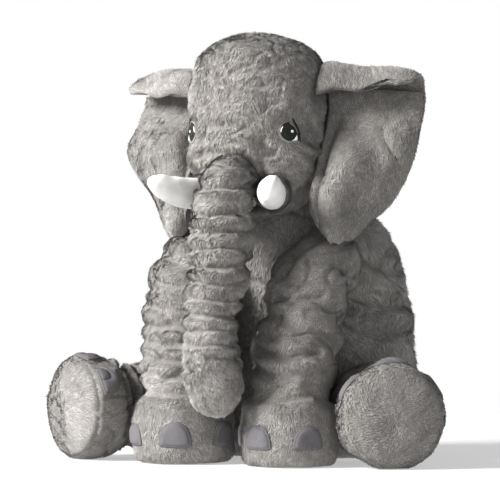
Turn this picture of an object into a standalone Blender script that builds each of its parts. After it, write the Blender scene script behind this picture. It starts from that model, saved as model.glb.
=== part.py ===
"""A seated plush elephant: sewn covers, their stuffing, and the seams that let each limb move.

Metres. +Z is up, the elephant looks along -Y, and its left side is +X. The origin is on the
ground below the middle of the toy. Covers are open shells at the end where they are sewn on;
each one holds its own wad of stuffing.
"""
import math

import bmesh
import bpy
import numpy as np
from mathutils import Vector

# --- driving dimensions -----------------------------------------------------------------
WALL = 0.003          # pile fabric with its backing
SMOOTH_WALL = 0.0018  # tusk and patch fabric
GAP = 0.0006          # clearance between pieces that are sewn together
SEAM_GAP = 0.0030     # clearance round a limb's rounded root, so that it can turn
PATCH = 0.0015        # thickness of a sewn-on patch
FILL_INSET = 0.0080   # how far a limb's stuffing stays inside the outer skin

BIG_SIDES = 20        # sides of the head and torso sections
LIMB_SIDES = 14       # sides of a limb section
OPEN_AT = 52          # latitude, degrees, where a limb's rounded root is left open

# torso sections: height, centre y, half width, half depth
TORSO = (
    (0.000, 0.094, 0.098, 0.086),
    (0.012, 0.094, 0.128, 0.108),
    (0.050, 0.092, 0.148, 0.120),
    (0.100, 0.090, 0.154, 0.126),
    (0.160, 0.084, 0.154, 0.130),
    (0.220, 0.074, 0.150, 0.132),
    (0.270, 0.064, 0.142, 0.128),
    (0.310, 0.052, 0.129, 0.116),
    (0.340, 0.034, 0.102, 0.092),
    (0.362, 0.018, 0.074, 0.070),
    (0.385, 0.010, 0.066, 0.066),
    (0.405, 0.010, 0.050, 0.050),
)
NECK = Vector((0, 0.010, 0.360))   # the head turns and nods about this point
NECK_BALL = 0.044                  # wad of stuffing that fills the neck
HEAD_HOLLOW = 0.087                # clearance sphere under the head

# head sections, chin to crown
HEAD = (
    (0.338, -0.055, 0.030, 0.030),
    (0.345, -0.053, 0.055, 0.048),
    (0.360, -0.048, 0.072, 0.060),
    (0.380, -0.045, 0.083, 0.068),
    (0.400, -0.047, 0.089, 0.078),
    (0.425, -0.049, 0.093, 0.087),
    (0.455, -0.050, 0.095, 0.092),
    (0.485, -0.050, 0.095, 0.092),
    (0.515, -0.052, 0.090, 0.089),
    (0.545, -0.056, 0.081, 0.081),
    (0.567, -0.061, 0.066, 0.067),
    (0.581, -0.065, 0.045, 0.047),
    (0.589, -0.067, 0.020, 0.022),
)

# trunk: each segment hangs from a rounded root inside the skirt of the one above
TRUNK_ROOTS = {
    "trunk_base": (Vector((0, -0.128, 0.398)), 0.0340),
    "trunk_mid": (Vector((0, -0.164, 0.312)), 0.0310),
    "trunk_tip": (Vector((0, -0.195, 0.215)), 0.0295),
}
# height, centre y, radius below the root
TRUNK = {
    "trunk_base": ((0.375, -0.148, 0.0355), (0.350, -0.157, 0.0380), (0.312, -0.164, 0.0360)),
    "trunk_mid": ((0.291, -0.169, 0.0320), (0.280, -0.172, 0.0365), (0.262, -0.177, 0.0385),
                  (0.238, -0.187, 0.0375), (0.215, -0.195, 0.0345)),
    "trunk_tip": ((0.187, -0.201, 0.0300), (0.175, -0.203, 0.0340), (0.150, -0.205, 0.0360),
                  (0.118, -0.202, 0.0345), (0.098, -0.197, 0.0280), (0.088, -0.194, 0.0180),
                  (0.085, -0.193, 0.0080)),
}
TRUNK_TIP_FILLED_TO = 0.110

# forelegs: height, centre x, centre y, radius, for the left leg
SHOULDER = Vector((0.098, -0.058, 0.250))
SHOULDER_BALL = 0.050
FORELEG_BEND = Vector((0.078, -0.092, 0.140))
GROOVE_RADIUS = 0.065  # room behind a foreleg to swing back
FOREFOOT = Vector((0.080, -0.124, 0))
FOREFOOT_RADIUS = 0.0650
FORELEG = (
    (0.0030, 0.080, -0.124, 0.0540),
    (0.0080, 0.080, -0.124, 0.0610),
    (0.0180, 0.080, -0.124, FOREFOOT_RADIUS),
    (0.0600, 0.080, -0.124, FOREFOOT_RADIUS),
    (0.0780, 0.080, -0.123, 0.0610),
    (0.0920, 0.080, -0.120, 0.0530),
    (0.1000, 0.080, -0.118, 0.0505),
    (0.1250, 0.079, -0.109, 0.0530),
    (0.1550, 0.079, -0.098, 0.0540),
    (0.2050, 0.086, -0.077, 0.0520),
)

# hind legs: distance back from the sole, radius
HIND_YAW = math.radians(33)
HINDFOOT_RADIUS = 0.0720
HIND_SOLE = Vector((0.243, -0.147, HINDFOOT_RADIUS))
HIND_REACH = 0.195
HIP_BALL = 0.068
HINDLEG = (
    (0.0030, 0.0580),
    (0.0090, 0.0670),
    (0.0180, HINDFOOT_RADIUS),
    (0.0520, HINDFOOT_RADIUS),
    (0.0620, 0.0660),
    (0.0700, 0.0550),
    (0.0790, 0.0500),
    (0.1050, 0.0530),
    (0.1300, 0.0580),
    (0.1550, 0.0640),
)

SOLE_THICKNESS = 0.0024
NAIL_HALF_WIDTH = 0.021
NAIL_HEIGHT = 0.029
FORE_NAIL_FOOT = 0.026        # height of a fore nail's flat edge
HIND_NAIL_FOOT = 0.018        # its distance from the hind sole
FORE_NAIL_SPREAD = math.radians(63)
HIND_NAIL_SPREAD = math.radians(55)
FORE_HEADING = math.radians(-16.5)  # the forefeet turn inwards

# ears: height, inner edge x and y, outer edge x and y, from the folded flap's edge to the lobe
EAR = (
    (0.500, 0.103, -0.066, 0.192, -0.030),
    (0.515, 0.102, -0.062, 0.204, -0.016),
    (0.527, 0.101, -0.052, 0.210, -0.002),
    (0.531, 0.100, -0.038, 0.212, 0.012),
    (0.520, 0.100, -0.030, 0.214, 0.020),
    (0.490, 0.101, -0.029, 0.216, 0.016),
    (0.455, 0.101, -0.036, 0.215, 0.006),
    (0.425, 0.100, -0.050, 0.211, -0.003),
    (0.395, 0.097, -0.070, 0.202, -0.004),
    (0.370, 0.095, -0.084, 0.189, -0.007),
    (0.350, 0.098, -0.089, 0.174, -0.014),
    (0.330, 0.106, -0.088, 0.157, -0.030),
    (0.316, 0.118, -0.079, 0.142, -0.050),
)
EAR_COLUMNS = 5
EAR_BELLY = 0.008      # how far the middle of the ear bulges forward
EAR_PANEL = 0.0035
EAR_HINGE = Vector((0.100, -0.030, 0.490))

# tusks: centre line and radius, for the left one
TUSK = ((Vector((0.052, -0.112, 0.370)), 0.0180), (Vector((0.060, -0.138, 0.367)), 0.0180),
        (Vector((0.070, -0.165, 0.368)), 0.0165), (Vector((0.080, -0.185, 0.374)), 0.0135),
        (Vector((0.0855, -0.195, 0.3785)), 0.0095), (Vector((0.088, -0.199, 0.381)), 0.0045))

EYE_HEIGHT = 0.454
EYE_BEARING = math.radians(49)
EYE_SIZE = (0.0140, 0.0105)
IRIS_RADIUS = 0.0082

TAIL_ROOT = Vector((0, 0.220, 0.135))
TAIL = ((Vector((0, 0.2245, 0.130)), 0.0080), (Vector((0, 0.2310, 0.108)), 0.0085),
        (Vector((0, 0.2325, 0.082)), 0.0080), (Vector((0, 0.2310, 0.060)), 0.0070))
TUFT_BACK = 0.2410     # the toy is as deep behind the origin as the trunk is in front of it
TUFT_RADIUS = 0.0125
TUFT_Y = TUFT_BACK - TUFT_RADIUS
TUFT = ((Vector((0, 0.2300, 0.0580)), 0.0070), (Vector((0, TUFT_Y, 0.045)), TUFT_RADIUS),
        (Vector((0, TUFT_Y, 0.028)), 0.0115), (Vector((0, TUFT_Y, 0.012)), 0.0050))

LABEL_SIZE = (0.0012, 0.024, 0.036)
LABEL_CENTRE = (0.060, 0.2170, 0.062)

# body name: parent, joint point
PIVOTS = {
    "torso": (None, Vector((0, 0, 0))),
    "neck": ("torso", NECK),
    "head": ("neck", NECK),
    "trunk_base": ("head", TRUNK_ROOTS["trunk_base"][0]),
    "trunk_mid": ("trunk_base", TRUNK_ROOTS["trunk_mid"][0]),
    "trunk_tip": ("trunk_mid", TRUNK_ROOTS["trunk_tip"][0]),
    "tail": ("torso", TAIL_ROOT),
}

# colour, roughness
FINISHES = {
    "grey_pile": ((0.300, 0.285, 0.270), 0.95),
    "stuffing": ((0.850, 0.850, 0.830), 1.00),
    "tusk_cloth": ((0.860, 0.855, 0.840), 0.85),
    "nail_cloth": ((0.330, 0.320, 0.330), 0.80),
    "eye_white": ((0.700, 0.690, 0.660), 0.60),
    "eye_dark": ((0.060, 0.062, 0.058), 0.45),
    "label_tape": ((0.900, 0.900, 0.890), 0.70),
}


def clear_scene():
    for obj in list(bpy.data.objects):
        bpy.data.objects.remove(obj, do_unlink=True)


def finish(slot):
    """The slot's material, made once."""
    material = bpy.data.materials.get(slot)
    if material is None:
        material = bpy.data.materials.new(slot)
        material.use_nodes = True
        colour, roughness = FINISHES[slot]
        shader = material.node_tree.nodes["Principled BSDF"]
        shader.inputs["Base Color"].default_value = (*colour, 1)
        shader.inputs["Roughness"].default_value = roughness
        shader.inputs["Metallic"].default_value = 0
    return material


def joint_empty(body):
    """An empty on the body's joint, parented along the chain of bodies."""
    empty = bpy.data.objects.get("joint_" + body)
    if empty is None:
        parent, point = PIVOTS[body]
        empty = bpy.data.objects.new("joint_" + body, None)
        bpy.context.collection.objects.link(empty)
        empty.location = point
        if parent is not None:
            empty.parent = joint_empty(parent)
            empty.location = point - PIVOTS[parent][1]
    return empty


def piece(name, bm, slot, body):
    """Put a mesh given in world places into the scene, on its body's joint."""
    bmesh.ops.recalc_face_normals(bm, faces=bm.faces)
    bmesh.ops.translate(bm, vec=-PIVOTS[body][1], verts=bm.verts)
    mesh = bpy.data.meshes.new(name)
    bm.to_mesh(mesh)
    bm.free()
    mesh.shade_smooth()
    mesh.set_sharp_from_angle(angle=math.radians(40))
    mesh.materials.append(finish(slot))
    obj = bpy.data.objects.new(name, mesh)
    bpy.context.collection.objects.link(obj)
    obj.parent = joint_empty(body)
    return obj


def ring(centre, across, up, half_width, half_height, sides):
    """Points round an ellipse in the plane of the unit vectors across and up."""
    turn = [2 * math.pi * (k + 0.5) / sides for k in range(sides)]
    return [centre + across * (half_width * math.cos(a)) + up * (half_height * math.sin(a))
            for a in turn]


def loft(rings, close_start=True, close_end=True):
    """A skin through the rings, with flat caps on the ends that are closed."""
    bm = bmesh.new()
    loops = [[bm.verts.new(p) for p in points] for points in rings]
    sides = len(loops[0])
    for low, high in zip(loops, loops[1:]):
        for k in range(sides):
            bm.faces.new((low[k], low[(k + 1) % sides], high[(k + 1) % sides], high[k]))
    if close_start:
        bm.faces.new(loops[0][::-1])
    if close_end:
        bm.faces.new(loops[-1])
    return bm


def dome(centre, away, across, up, radius, sides, shrink=0.0, to=OPEN_AT):
    """Rings of a limb's rounded root, from its equator towards the direction away."""
    steps = [math.radians(to) * k / 2 for k in range(3)]
    return [ring(centre + away * ((radius - shrink) * math.sin(a)), across, up,
                 (radius - shrink) * math.cos(a), (radius - shrink) * math.cos(a), sides)
            for a in steps]


def thicken(obj, wall):
    """Give an open skin its wall, on the inner side."""
    solid = obj.modifiers.new("wall", "SOLIDIFY")
    solid.thickness = wall
    solid.offset = -1
    solid.use_even_offset = True


def ball_cutter(name, centre, radius):
    """A sphere that clears a hollow for whatever turns inside it."""
    bm = bmesh.new()
    bmesh.ops.create_uvsphere(bm, u_segments=16, v_segments=9, radius=radius)
    mesh = bpy.data.meshes.new(name)
    bm.to_mesh(mesh)
    bm.free()
    cutter = bpy.data.objects.new(name, mesh)
    bpy.context.collection.objects.link(cutter)
    cutter.location = centre
    cutter.hide_render = True
    cutter.display_type = "WIRE"
    return cutter


def groove_cutter(name, start, end, radius):
    """A round bar from start to end that clears a groove for a limb lying against the body."""
    path = [(start, radius), (end, radius)]
    mesh = bpy.data.meshes.new(name)
    bm = loft(tube_rings(path, 0, LIMB_SIDES))
    bmesh.ops.recalc_face_normals(bm, faces=bm.faces)
    bm.to_mesh(mesh)
    bm.free()
    cutter = bpy.data.objects.new(name, mesh)
    bpy.context.collection.objects.link(cutter)
    cutter.hide_render = True
    cutter.display_type = "WIRE"
    return cutter


def hollow(obj, cutters):
    for cutter in cutters:
        cut = obj.modifiers.new(cutter.name, "BOOLEAN")
        cut.operation = "DIFFERENCE"
        cut.object = cutter


def mirrored(point, side):
    return Vector((point.x * side, point.y, point.z))


def side_name(side):
    return "left" if side > 0 else "right"


def stack(rows, shrink, sides):
    """Level rings from rows of height, centre y, half width and half depth."""
    return [ring(Vector((0, y, z)), Vector((1, 0, 0)), Vector((0, 1, 0)), a - shrink, b - shrink, sides)
            for z, y, a, b in rows]


def squeezed(rows, shrink):
    """The same rows with their ends moved in by shrink along the height."""
    low, high = rows[0][0] + shrink, rows[-1][0] - shrink
    return [(min(max(row[0], low), high), *row[1:]) for row in rows]


def head_surface(height, bearing):
    """A point on the head and the outward direction there, at a bearing from straight ahead."""
    z, y, a, b = (np.interp(height, [r[0] for r in HEAD], [r[k] for r in HEAD]) for k in range(4))
    point = Vector((a * math.sin(bearing), y - b * math.cos(bearing), z))
    outward = Vector((math.sin(bearing) / a, -math.cos(bearing) / b, 0)).normalized()
    return point, outward


def make_torso():
    hollows = [ball_cutter("cut_neck_wad", NECK, NECK_BALL + SEAM_GAP)]
    for side in (1, -1):
        name = side_name(side)
        hollows.append(ball_cutter("cut_shoulder_" + name, mirrored(SHOULDER, side),
                                   SHOULDER_BALL + SEAM_GAP))
        hollows.append(groove_cutter("cut_foreleg_" + name, mirrored(SHOULDER, side),
                                     mirrored(FORELEG_BEND, side), GROOVE_RADIUS))
        hollows.append(ball_cutter("cut_hip_" + name, hip(side), HIP_BALL + SEAM_GAP))
    cover = piece("torso_cover", loft(stack(TORSO, 0, BIG_SIDES), close_end=False), "grey_pile", "torso")
    thicken(cover, WALL)
    hollow(cover, hollows)
    rows = squeezed(TORSO[1:-1], FILL_INSET)
    fill = piece("torso_fill", loft(stack(rows, FILL_INSET, LIMB_SIDES)), "stuffing", "torso")
    hollow(fill, hollows)


def make_neck():
    """The firm wad that holds the head up: a ball, so the head can turn and nod over it."""
    bm = bmesh.new()
    bmesh.ops.create_uvsphere(bm, u_segments=LIMB_SIDES, v_segments=10, radius=NECK_BALL)
    bmesh.ops.translate(bm, vec=NECK, verts=bm.verts)
    piece("neck_fill", bm, "stuffing", "neck")


def make_head():
    trunk_root, trunk_radius = TRUNK_ROOTS["trunk_base"]
    hollows = [ball_cutter("cut_under_head", NECK, HEAD_HOLLOW),
               ball_cutter("cut_trunk_root", trunk_root, trunk_radius + SEAM_GAP)]
    for side in (1, -1):
        hollows.append(ball_cutter("cut_tusk_" + side_name(side), mirrored(TUSK[0][0], side),
                                   TUSK[0][1] + SEAM_GAP))
    cover = piece("head_cover", loft(stack(HEAD, 0, BIG_SIDES)), "grey_pile", "head")
    thicken(cover, WALL)
    hollow(cover, hollows)
    rows = squeezed(HEAD[1:-1], FILL_INSET)
    fill = piece("head_fill", loft(stack(rows, FILL_INSET, LIMB_SIDES)), "stuffing", "head")
    hollow(fill, hollows)

    bm = bmesh.new()
    bmesh.ops.create_uvsphere(bm, u_segments=12, v_segments=6, radius=1)
    bmesh.ops.scale(bm, vec=(0.034, 0.018, 0.0075), verts=bm.verts)
    bmesh.ops.translate(bm, vec=(0, -0.088, 0.3285), verts=bm.verts)
    piece("lower_lip", bm, "grey_pile", "head")


def disc(centre, outward, half_width, half_height, thickness, sides):
    """A flat patch that stands off the surface at centre, facing outward."""
    across = Vector((0, 0, 1)).cross(outward).normalized()
    up = outward.cross(across)
    near = ring(centre, across, up, half_width, half_height, sides)
    far = ring(centre + outward * thickness, across, up, half_width, half_height, sides)
    return loft([near, far])


def make_eyes():
    for side in (1, -1):
        point, outward = head_surface(EYE_HEIGHT, EYE_BEARING * side)
        name = side_name(side)
        white = point + outward * GAP
        piece("eye_patch_" + name, disc(white, outward, *EYE_SIZE, PATCH, 14), "eye_white", "head")
        iris = white + outward * (PATCH + GAP)
        piece("eye_iris_" + name, disc(iris, outward, IRIS_RADIUS, IRIS_RADIUS, PATCH, 12),
              "eye_dark", "head")


def tube_rings(path, shrink, sides):
    """Rings square to a path of points and radii, with the first ring's frame carried along."""
    points = [p for p, _ in path]
    up = Vector((0, 0, 1))
    rings = []
    for k, (point, radius) in enumerate(path):
        ahead = (points[min(k + 1, len(points) - 1)] - points[max(k - 1, 0)]).normalized()
        across = ahead.cross(up).normalized() if abs(ahead.dot(up)) < 0.95 else Vector((1, 0, 0))
        rings.append(ring(point, across, across.cross(ahead), radius - shrink, radius - shrink, sides))
    return rings


def make_tusks():
    for side in (1, -1):
        path = [(mirrored(p, side), r) for p, r in TUSK]
        name = side_name(side)
        cover = piece("tusk_cover_" + name, loft(tube_rings(path, 0, 12), close_start=False),
                      "tusk_cloth", "head")
        thicken(cover, SMOOTH_WALL)
        inset = SMOOTH_WALL + 2 * GAP
        start = path[0][0].lerp(path[1][0], 0.06)
        inner = [(start, path[0][1])] + path[1:4]
        piece("tusk_fill_" + name, loft(tube_rings(inner, inset, 10)), "stuffing", "head")


def ear_sheet(side, stand_off):
    """The ear's middle surface as a grid, moved off itself so that two panels lie back to back."""
    bm = bmesh.new()
    share = [k / (EAR_COLUMNS - 1) for k in range(EAR_COLUMNS)]
    grid = [[bm.verts.new(Vector((side * (xi + (xo - xi) * s),
                                  yi + (yo - yi) * s - EAR_BELLY * math.sin(math.pi * s), z)))
             for s in share] for z, xi, yi, xo, yo in EAR]
    for upper, lower in zip(grid, grid[1:]):
        for k in range(EAR_COLUMNS - 1):
            corners = (upper[k], lower[k], lower[k + 1], upper[k + 1])
            bm.faces.new(corners if side > 0 else corners[::-1])
    bm.normal_update()
    for vert, away in [(v, v.normal.copy()) for v in bm.verts]:
        vert.co += away * stand_off
    return bm


def make_ears():
    """Front panels face forward and inwards at the folded flap; back panels lie behind them."""
    for side in (1, -1):
        body = "ear_" + side_name(side)
        for panel, facing in (("front", 1), ("back", -1)):
            bm = ear_sheet(side, facing * GAP / 2)
            bmesh.ops.translate(bm, vec=-PIVOTS[body][1], verts=bm.verts)
            name = "ear_" + panel + "_" + side_name(side)
            mesh = bpy.data.meshes.new(name)
            bm.to_mesh(mesh)
            bm.free()
            mesh.shade_smooth()
            mesh.materials.append(finish("grey_pile"))
            obj = bpy.data.objects.new(name, mesh)
            bpy.context.collection.objects.link(obj)
            obj.parent = joint_empty(body)
            solid = obj.modifiers.new("wall", "SOLIDIFY")
            solid.thickness = EAR_PANEL
            solid.offset = facing


def make_trunk():
    across, back, down = Vector((1, 0, 0)), Vector((0, 1, 0)), Vector((0, 0, -1))
    for body, rows in TRUNK.items():
        root, radius = TRUNK_ROOTS[body]
        last = body == "trunk_tip"

        def rings(shrink, used):
            top = dome(root, -down, across, back, radius, LIMB_SIDES, shrink)[::-1]
            return top + [ring(Vector((0, y, z)), across, back, r - shrink, r - shrink, LIMB_SIDES)
                          for z, y, r in used]

        skin = loft(rings(0, rows), close_start=False, close_end=last)
        cover = piece(body + "_cover", skin, "grey_pile", body)
        thicken(cover, WALL)
        if last:
            used = [row for row in rows if row[0] > TRUNK_TIP_FILLED_TO]
        else:
            below = TRUNK_ROOTS["trunk_mid" if body == "trunk_base" else "trunk_tip"]
            clear = below[0].z + below[1] + SEAM_GAP
            used = [row for row in rows if row[0] > clear]
        piece(body + "_fill", loft(rings(FILL_INSET, used)), "stuffing", body)


def nail(name, body, axis_point, axis, outward, distance, radius):
    """A half-disc patch wrapped on a round foot, its flat edge towards the sole.

    A point of the patch is at an angle round the foot and a distance along the axis; the half
    disc's rim is height * sqrt(1 - (angle/half angle)^2).
    """
    around = axis.cross(outward)
    half_angle = NAIL_HALF_WIDTH / radius
    columns = 7
    bm = bmesh.new()
    layers = []
    for lift in (2 * GAP, 2 * GAP + PATCH):
        rows = []
        for k in range(columns):
            u = -1 + 2 * k / (columns - 1)
            height = NAIL_HEIGHT * math.sqrt(max(1 - u * u, 0.04))
            spin = half_angle * u
            radial = outward * math.cos(spin) + around * math.sin(spin)
            rows.append([bm.verts.new(axis_point + radial * (radius + lift) + axis * (distance + t))
                         for t in (0, height)])
        layers.append(rows)
    inner, outer = layers
    for k in range(columns - 1):
        bm.faces.new((outer[k][0], outer[k + 1][0], outer[k + 1][1], outer[k][1]))
        bm.faces.new((inner[k][0], inner[k][1], inner[k + 1][1], inner[k + 1][0]))
        for t in (0, 1):
            bm.faces.new((inner[k][t], inner[k + 1][t], outer[k + 1][t], outer[k][t]))
    for k in (0, columns - 1):
        bm.faces.new((inner[k][0], inner[k][1], outer[k][1], outer[k][0]))
    piece(name, bm, "nail_cloth", body)


def make_forelegs():
    across, back, up = Vector((1, 0, 0)), Vector((0, 1, 0)), Vector((0, 0, 1))
    for side in (1, -1):
        name = side_name(side)
        body = "foreleg_" + name
        shoulder = mirrored(SHOULDER, side)

        def rings(shrink, rows):
            leg = [ring(Vector((side * x, y, z)), across, back, r - shrink, r - shrink, LIMB_SIDES)
                   for z, x, y, r in rows]
            return leg + dome(shoulder, up, across, back, SHOULDER_BALL, LIMB_SIDES, shrink)

        cover = piece("foreleg_cover_" + name, loft(rings(0, FORELEG), False, False), "grey_pile", body)
        thicken(cover, WALL)
        piece("foreleg_fill_" + name, loft(rings(FILL_INSET, FORELEG[2:])), "stuffing", body)

        foot = mirrored(FOREFOOT, side)
        low = ring(foot, across, back, 0.0500, 0.0500, LIMB_SIDES)
        high = ring(foot + up * SOLE_THICKNESS, across, back, 0.0530, 0.0530, LIMB_SIDES)
        piece("forefoot_sole_" + name, loft([low, high]), "grey_pile", body)

        for place, spread in (("inner", -side), ("middle", 0), ("outer", side)):
            bearing = side * FORE_HEADING + spread * FORE_NAIL_SPREAD
            outward = Vector((math.sin(bearing), -math.cos(bearing), 0))
            nail(f"forefoot_nail_{place}_{name}", body, foot, up, outward, FORE_NAIL_FOOT,
                 FOREFOOT_RADIUS)


def hind_axis(side):
    """From the sole back to the hip, level."""
    return Vector((-side * math.sin(HIND_YAW), math.cos(HIND_YAW), 0))


def hip(side):
    return mirrored(HIND_SOLE, side) + hind_axis(side) * HIND_REACH


def make_hindlegs():
    up = Vector((0, 0, 1))
    for side in (1, -1):
        name = side_name(side)
        body = "hindleg_" + name
        sole, axis = mirrored(HIND_SOLE, side), hind_axis(side)
        across = axis.cross(up)

        def rings(shrink, rows):
            leg = [ring(sole + axis * t, across, up, r - shrink, r - shrink, LIMB_SIDES) for t, r in rows]
            return leg + dome(hip(side), axis, across, up, HIP_BALL, LIMB_SIDES, shrink)

        cover = piece("hindleg_cover_" + name, loft(rings(0, HINDLEG), False, False), "grey_pile", body)
        thicken(cover, WALL)
        piece("hindleg_fill_" + name, loft(rings(FILL_INSET, HINDLEG[2:])), "stuffing", body)

        near = ring(sole, across, up, 0.0540, 0.0540, LIMB_SIDES)
        far = ring(sole + axis * SOLE_THICKNESS, across, up, 0.0565, 0.0565, LIMB_SIDES)
        piece("hindfoot_sole_" + name, loft([near, far]), "grey_pile", body)

        for place, spread in (("inner", -side), ("middle", 0), ("outer", side)):
            bearing = spread * HIND_NAIL_SPREAD
            outside = Vector((math.cos(HIND_YAW), side * math.sin(HIND_YAW), 0))
            outward = up * math.cos(bearing) + outside * math.sin(bearing)
            nail(f"hindfoot_nail_{place}_{name}", body, sole, axis, outward, HIND_NAIL_FOOT,
                 HINDFOOT_RADIUS)


def make_tail():
    piece("tail_cover", loft(tube_rings(TAIL, 0, 10)), "grey_pile", "tail")
    piece("tail_tuft", loft(tube_rings(TUFT, 0, 10)), "grey_pile", "tail")


def make_label():
    """A blank tape sewn into the seam low on the back."""
    bm = bmesh.new()
    bmesh.ops.create_cube(bm, size=1)
    bmesh.ops.scale(bm, vec=LABEL_SIZE, verts=bm.verts)
    bmesh.ops.translate(bm, vec=LABEL_CENTRE, verts=bm.verts)
    piece("care_label", bm, "label_tape", "torso")


clear_scene()
for hand in (1, -1):
    PIVOTS["ear_" + side_name(hand)] = ("head", mirrored(EAR_HINGE, hand))
    PIVOTS["foreleg_" + side_name(hand)] = ("torso", mirrored(SHOULDER, hand))
    PIVOTS["hindleg_" + side_name(hand)] = ("torso", hip(hand))
make_torso()
make_neck()
make_head()
make_eyes()
make_tusks()
make_ears()
make_trunk()
make_forelegs()
make_hindlegs()
make_tail()
make_label()
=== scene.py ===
"""A large seated plush elephant: grey pile fabric over stuffing, cloth tusks and nails, stitched eyes.

Metres. +Z is up, the elephant looks along -Y, and its left side is +X. Bearings are measured round
an upright piece from -Y, the front, towards +X.
"""
import math

import bpy
import numpy as np
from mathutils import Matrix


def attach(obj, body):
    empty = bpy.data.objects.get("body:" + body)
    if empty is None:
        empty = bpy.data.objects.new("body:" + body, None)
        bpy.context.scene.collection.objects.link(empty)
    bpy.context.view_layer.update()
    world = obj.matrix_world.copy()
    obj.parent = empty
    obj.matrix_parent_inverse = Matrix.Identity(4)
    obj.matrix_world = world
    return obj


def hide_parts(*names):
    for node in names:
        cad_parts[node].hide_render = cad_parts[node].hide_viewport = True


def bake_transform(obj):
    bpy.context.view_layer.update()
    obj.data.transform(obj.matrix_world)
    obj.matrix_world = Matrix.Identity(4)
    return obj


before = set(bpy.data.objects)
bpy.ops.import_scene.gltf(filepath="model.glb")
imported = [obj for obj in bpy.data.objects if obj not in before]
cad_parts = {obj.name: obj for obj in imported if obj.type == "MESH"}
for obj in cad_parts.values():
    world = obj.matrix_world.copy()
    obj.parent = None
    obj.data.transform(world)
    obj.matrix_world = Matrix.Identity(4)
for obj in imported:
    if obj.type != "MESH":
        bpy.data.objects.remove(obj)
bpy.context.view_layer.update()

# --- Torso -------------------------------------------------------------------------------
# The body is a sack of grey pile fabric filled with loose fibre. It sits flat on its rump, narrows
# to the neck, and its cloth hangs in soft folds. Everything else is sewn to it.

TORSO_ROWS = (
    # height, centre y, half width, half depth
    (0.000, 0.094, 0.110, 0.094),
    (0.008, 0.094, 0.132, 0.111),
    (0.040, 0.093, 0.150, 0.122),
    (0.100, 0.090, 0.160, 0.128),
    (0.160, 0.084, 0.162, 0.131),
    (0.220, 0.074, 0.160, 0.131),
    (0.270, 0.062, 0.151, 0.127),
    (0.310, 0.050, 0.136, 0.115),
    (0.340, 0.032, 0.108, 0.094),
    (0.362, 0.018, 0.078, 0.074),
    (0.385, 0.010, 0.060, 0.060),
    (0.398, 0.010, 0.030, 0.030),
)
PILE_LENGTH = 0.0052
PILE_GAP = 0.00178       # how far apart the tufts stand
PILE_LEAN = 1.22         # radians from upright


def unit(vectors):
    """Each vector over its own length."""
    return vectors / np.maximum(np.linalg.norm(vectors, axis=-1, keepdims=True), 1e-12)


def through(rows, steps):
    """A smooth table: every column is a Catmull-Rom curve through its values, 0.5 (2b + (c - a) f +
    (2a - 5b + 4c - d) f^2 + (3b - a - 3c + d) f^3), read at evenly spaced places from first row to last."""
    rows = np.asarray(rows, float)
    ends = np.vstack([2 * rows[0] - rows[1], rows, 2 * rows[-1] - rows[-2]])
    place = np.linspace(0, len(rows) - 1, steps)
    row = np.minimum(place.astype(int), len(rows) - 2)
    f = (place - row)[:, None]
    a, b, c, d = ends[row], ends[row + 1], ends[row + 2], ends[row + 3]
    return 0.5 * (2 * b + (c - a) * f + (2 * a - 5 * b + 4 * c - d) * f ** 2
                  + (3 * b - a - 3 * c + d) * f ** 3)


def spaced(rows, steps, columns=3):
    """The smooth table re-read so that its points stand equally far apart along their line."""
    fine = through(rows, 12 * len(rows))
    along = np.concatenate([[0], np.cumsum(np.linalg.norm(np.diff(fine[:, :columns], axis=0), axis=1))])
    wanted = np.linspace(0, along[-1], steps)
    return np.stack([np.interp(wanted, along, column) for column in fine.T], axis=1)


def ripple(points, wavelength, seed, waves=14):
    """Smooth unevenness of about -1 to 1: a sum of sines along random directions, their lengths near
    the given wavelength, over the root of half their number."""
    rng = np.random.default_rng(seed)
    ways = unit(rng.normal(size=(waves, 3))) * (2 * np.pi / wavelength) * rng.uniform(0.7, 1.4, (waves, 1))
    return np.sin(points @ ways.T + rng.uniform(0, 2 * np.pi, waves)).sum(-1) / math.sqrt(waves / 2) * 0.7


def outward(grid, closed=True):
    """Unit normals of a grid of points: the step round the ring crossed with the step along the travel."""
    if closed:
        around = np.roll(grid, -1, 1) - np.roll(grid, 1, 1)
    else:
        around = np.gradient(grid, axis=1)
    return unit(np.cross(around, np.gradient(grid, axis=0)))


def crumple(grid, size, depth, seed, stretch=(1, 1, 1)):
    """Valleys of rumpled cloth: the points move in by depth x exp(-(u / 0.22)^2), where u is a ripple
    of the given size, so narrow creases run between soft cushions. Stretch lengthens them along an axis."""
    uneven = ripple(grid / np.asarray(stretch, float), size, seed)
    swell = ripple(grid / np.asarray(stretch, float), size * 1.6, seed + 1)
    move = depth * (0.6 * swell - np.exp(-(uneven / 0.30) ** 2))
    return grid + outward(grid) * move[..., None]


def fold_depth(turns, heights, lines, radius, typical_radius):
    """How far each point moves out for a set of folds. Each line is a row of (turn in degrees,
    height), with a width and a depth. The move is -depth x exp(-(d / width)^2), where d is the
    point's distance to the line on the unrolled surface, and the rims, 1.8 widths away, stand out
    by a third of that."""
    move = np.zeros(turns.shape)
    for points, width, depth in lines:
        nearest = np.full(turns.shape, 9.0)
        for (b0, h0), (b1, h1) in zip(points[:-1], points[1:]):
            turn = np.radians((turns - b0 + 180) % 360 - 180) * radius
            rise = heights - h0
            step = np.array([math.radians(b1 - b0) * typical_radius, h1 - h0])
            t = np.clip((turn * step[0] + rise * step[1]) / (step @ step), 0, 1)
            nearest = np.minimum(nearest, np.hypot(turn - t * step[0], rise - t * step[1]))
        move += depth * (0.33 * np.exp(-((nearest - 1.8 * width) / width) ** 2)
                         - np.exp(-(nearest / width) ** 2))
    return move


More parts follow.
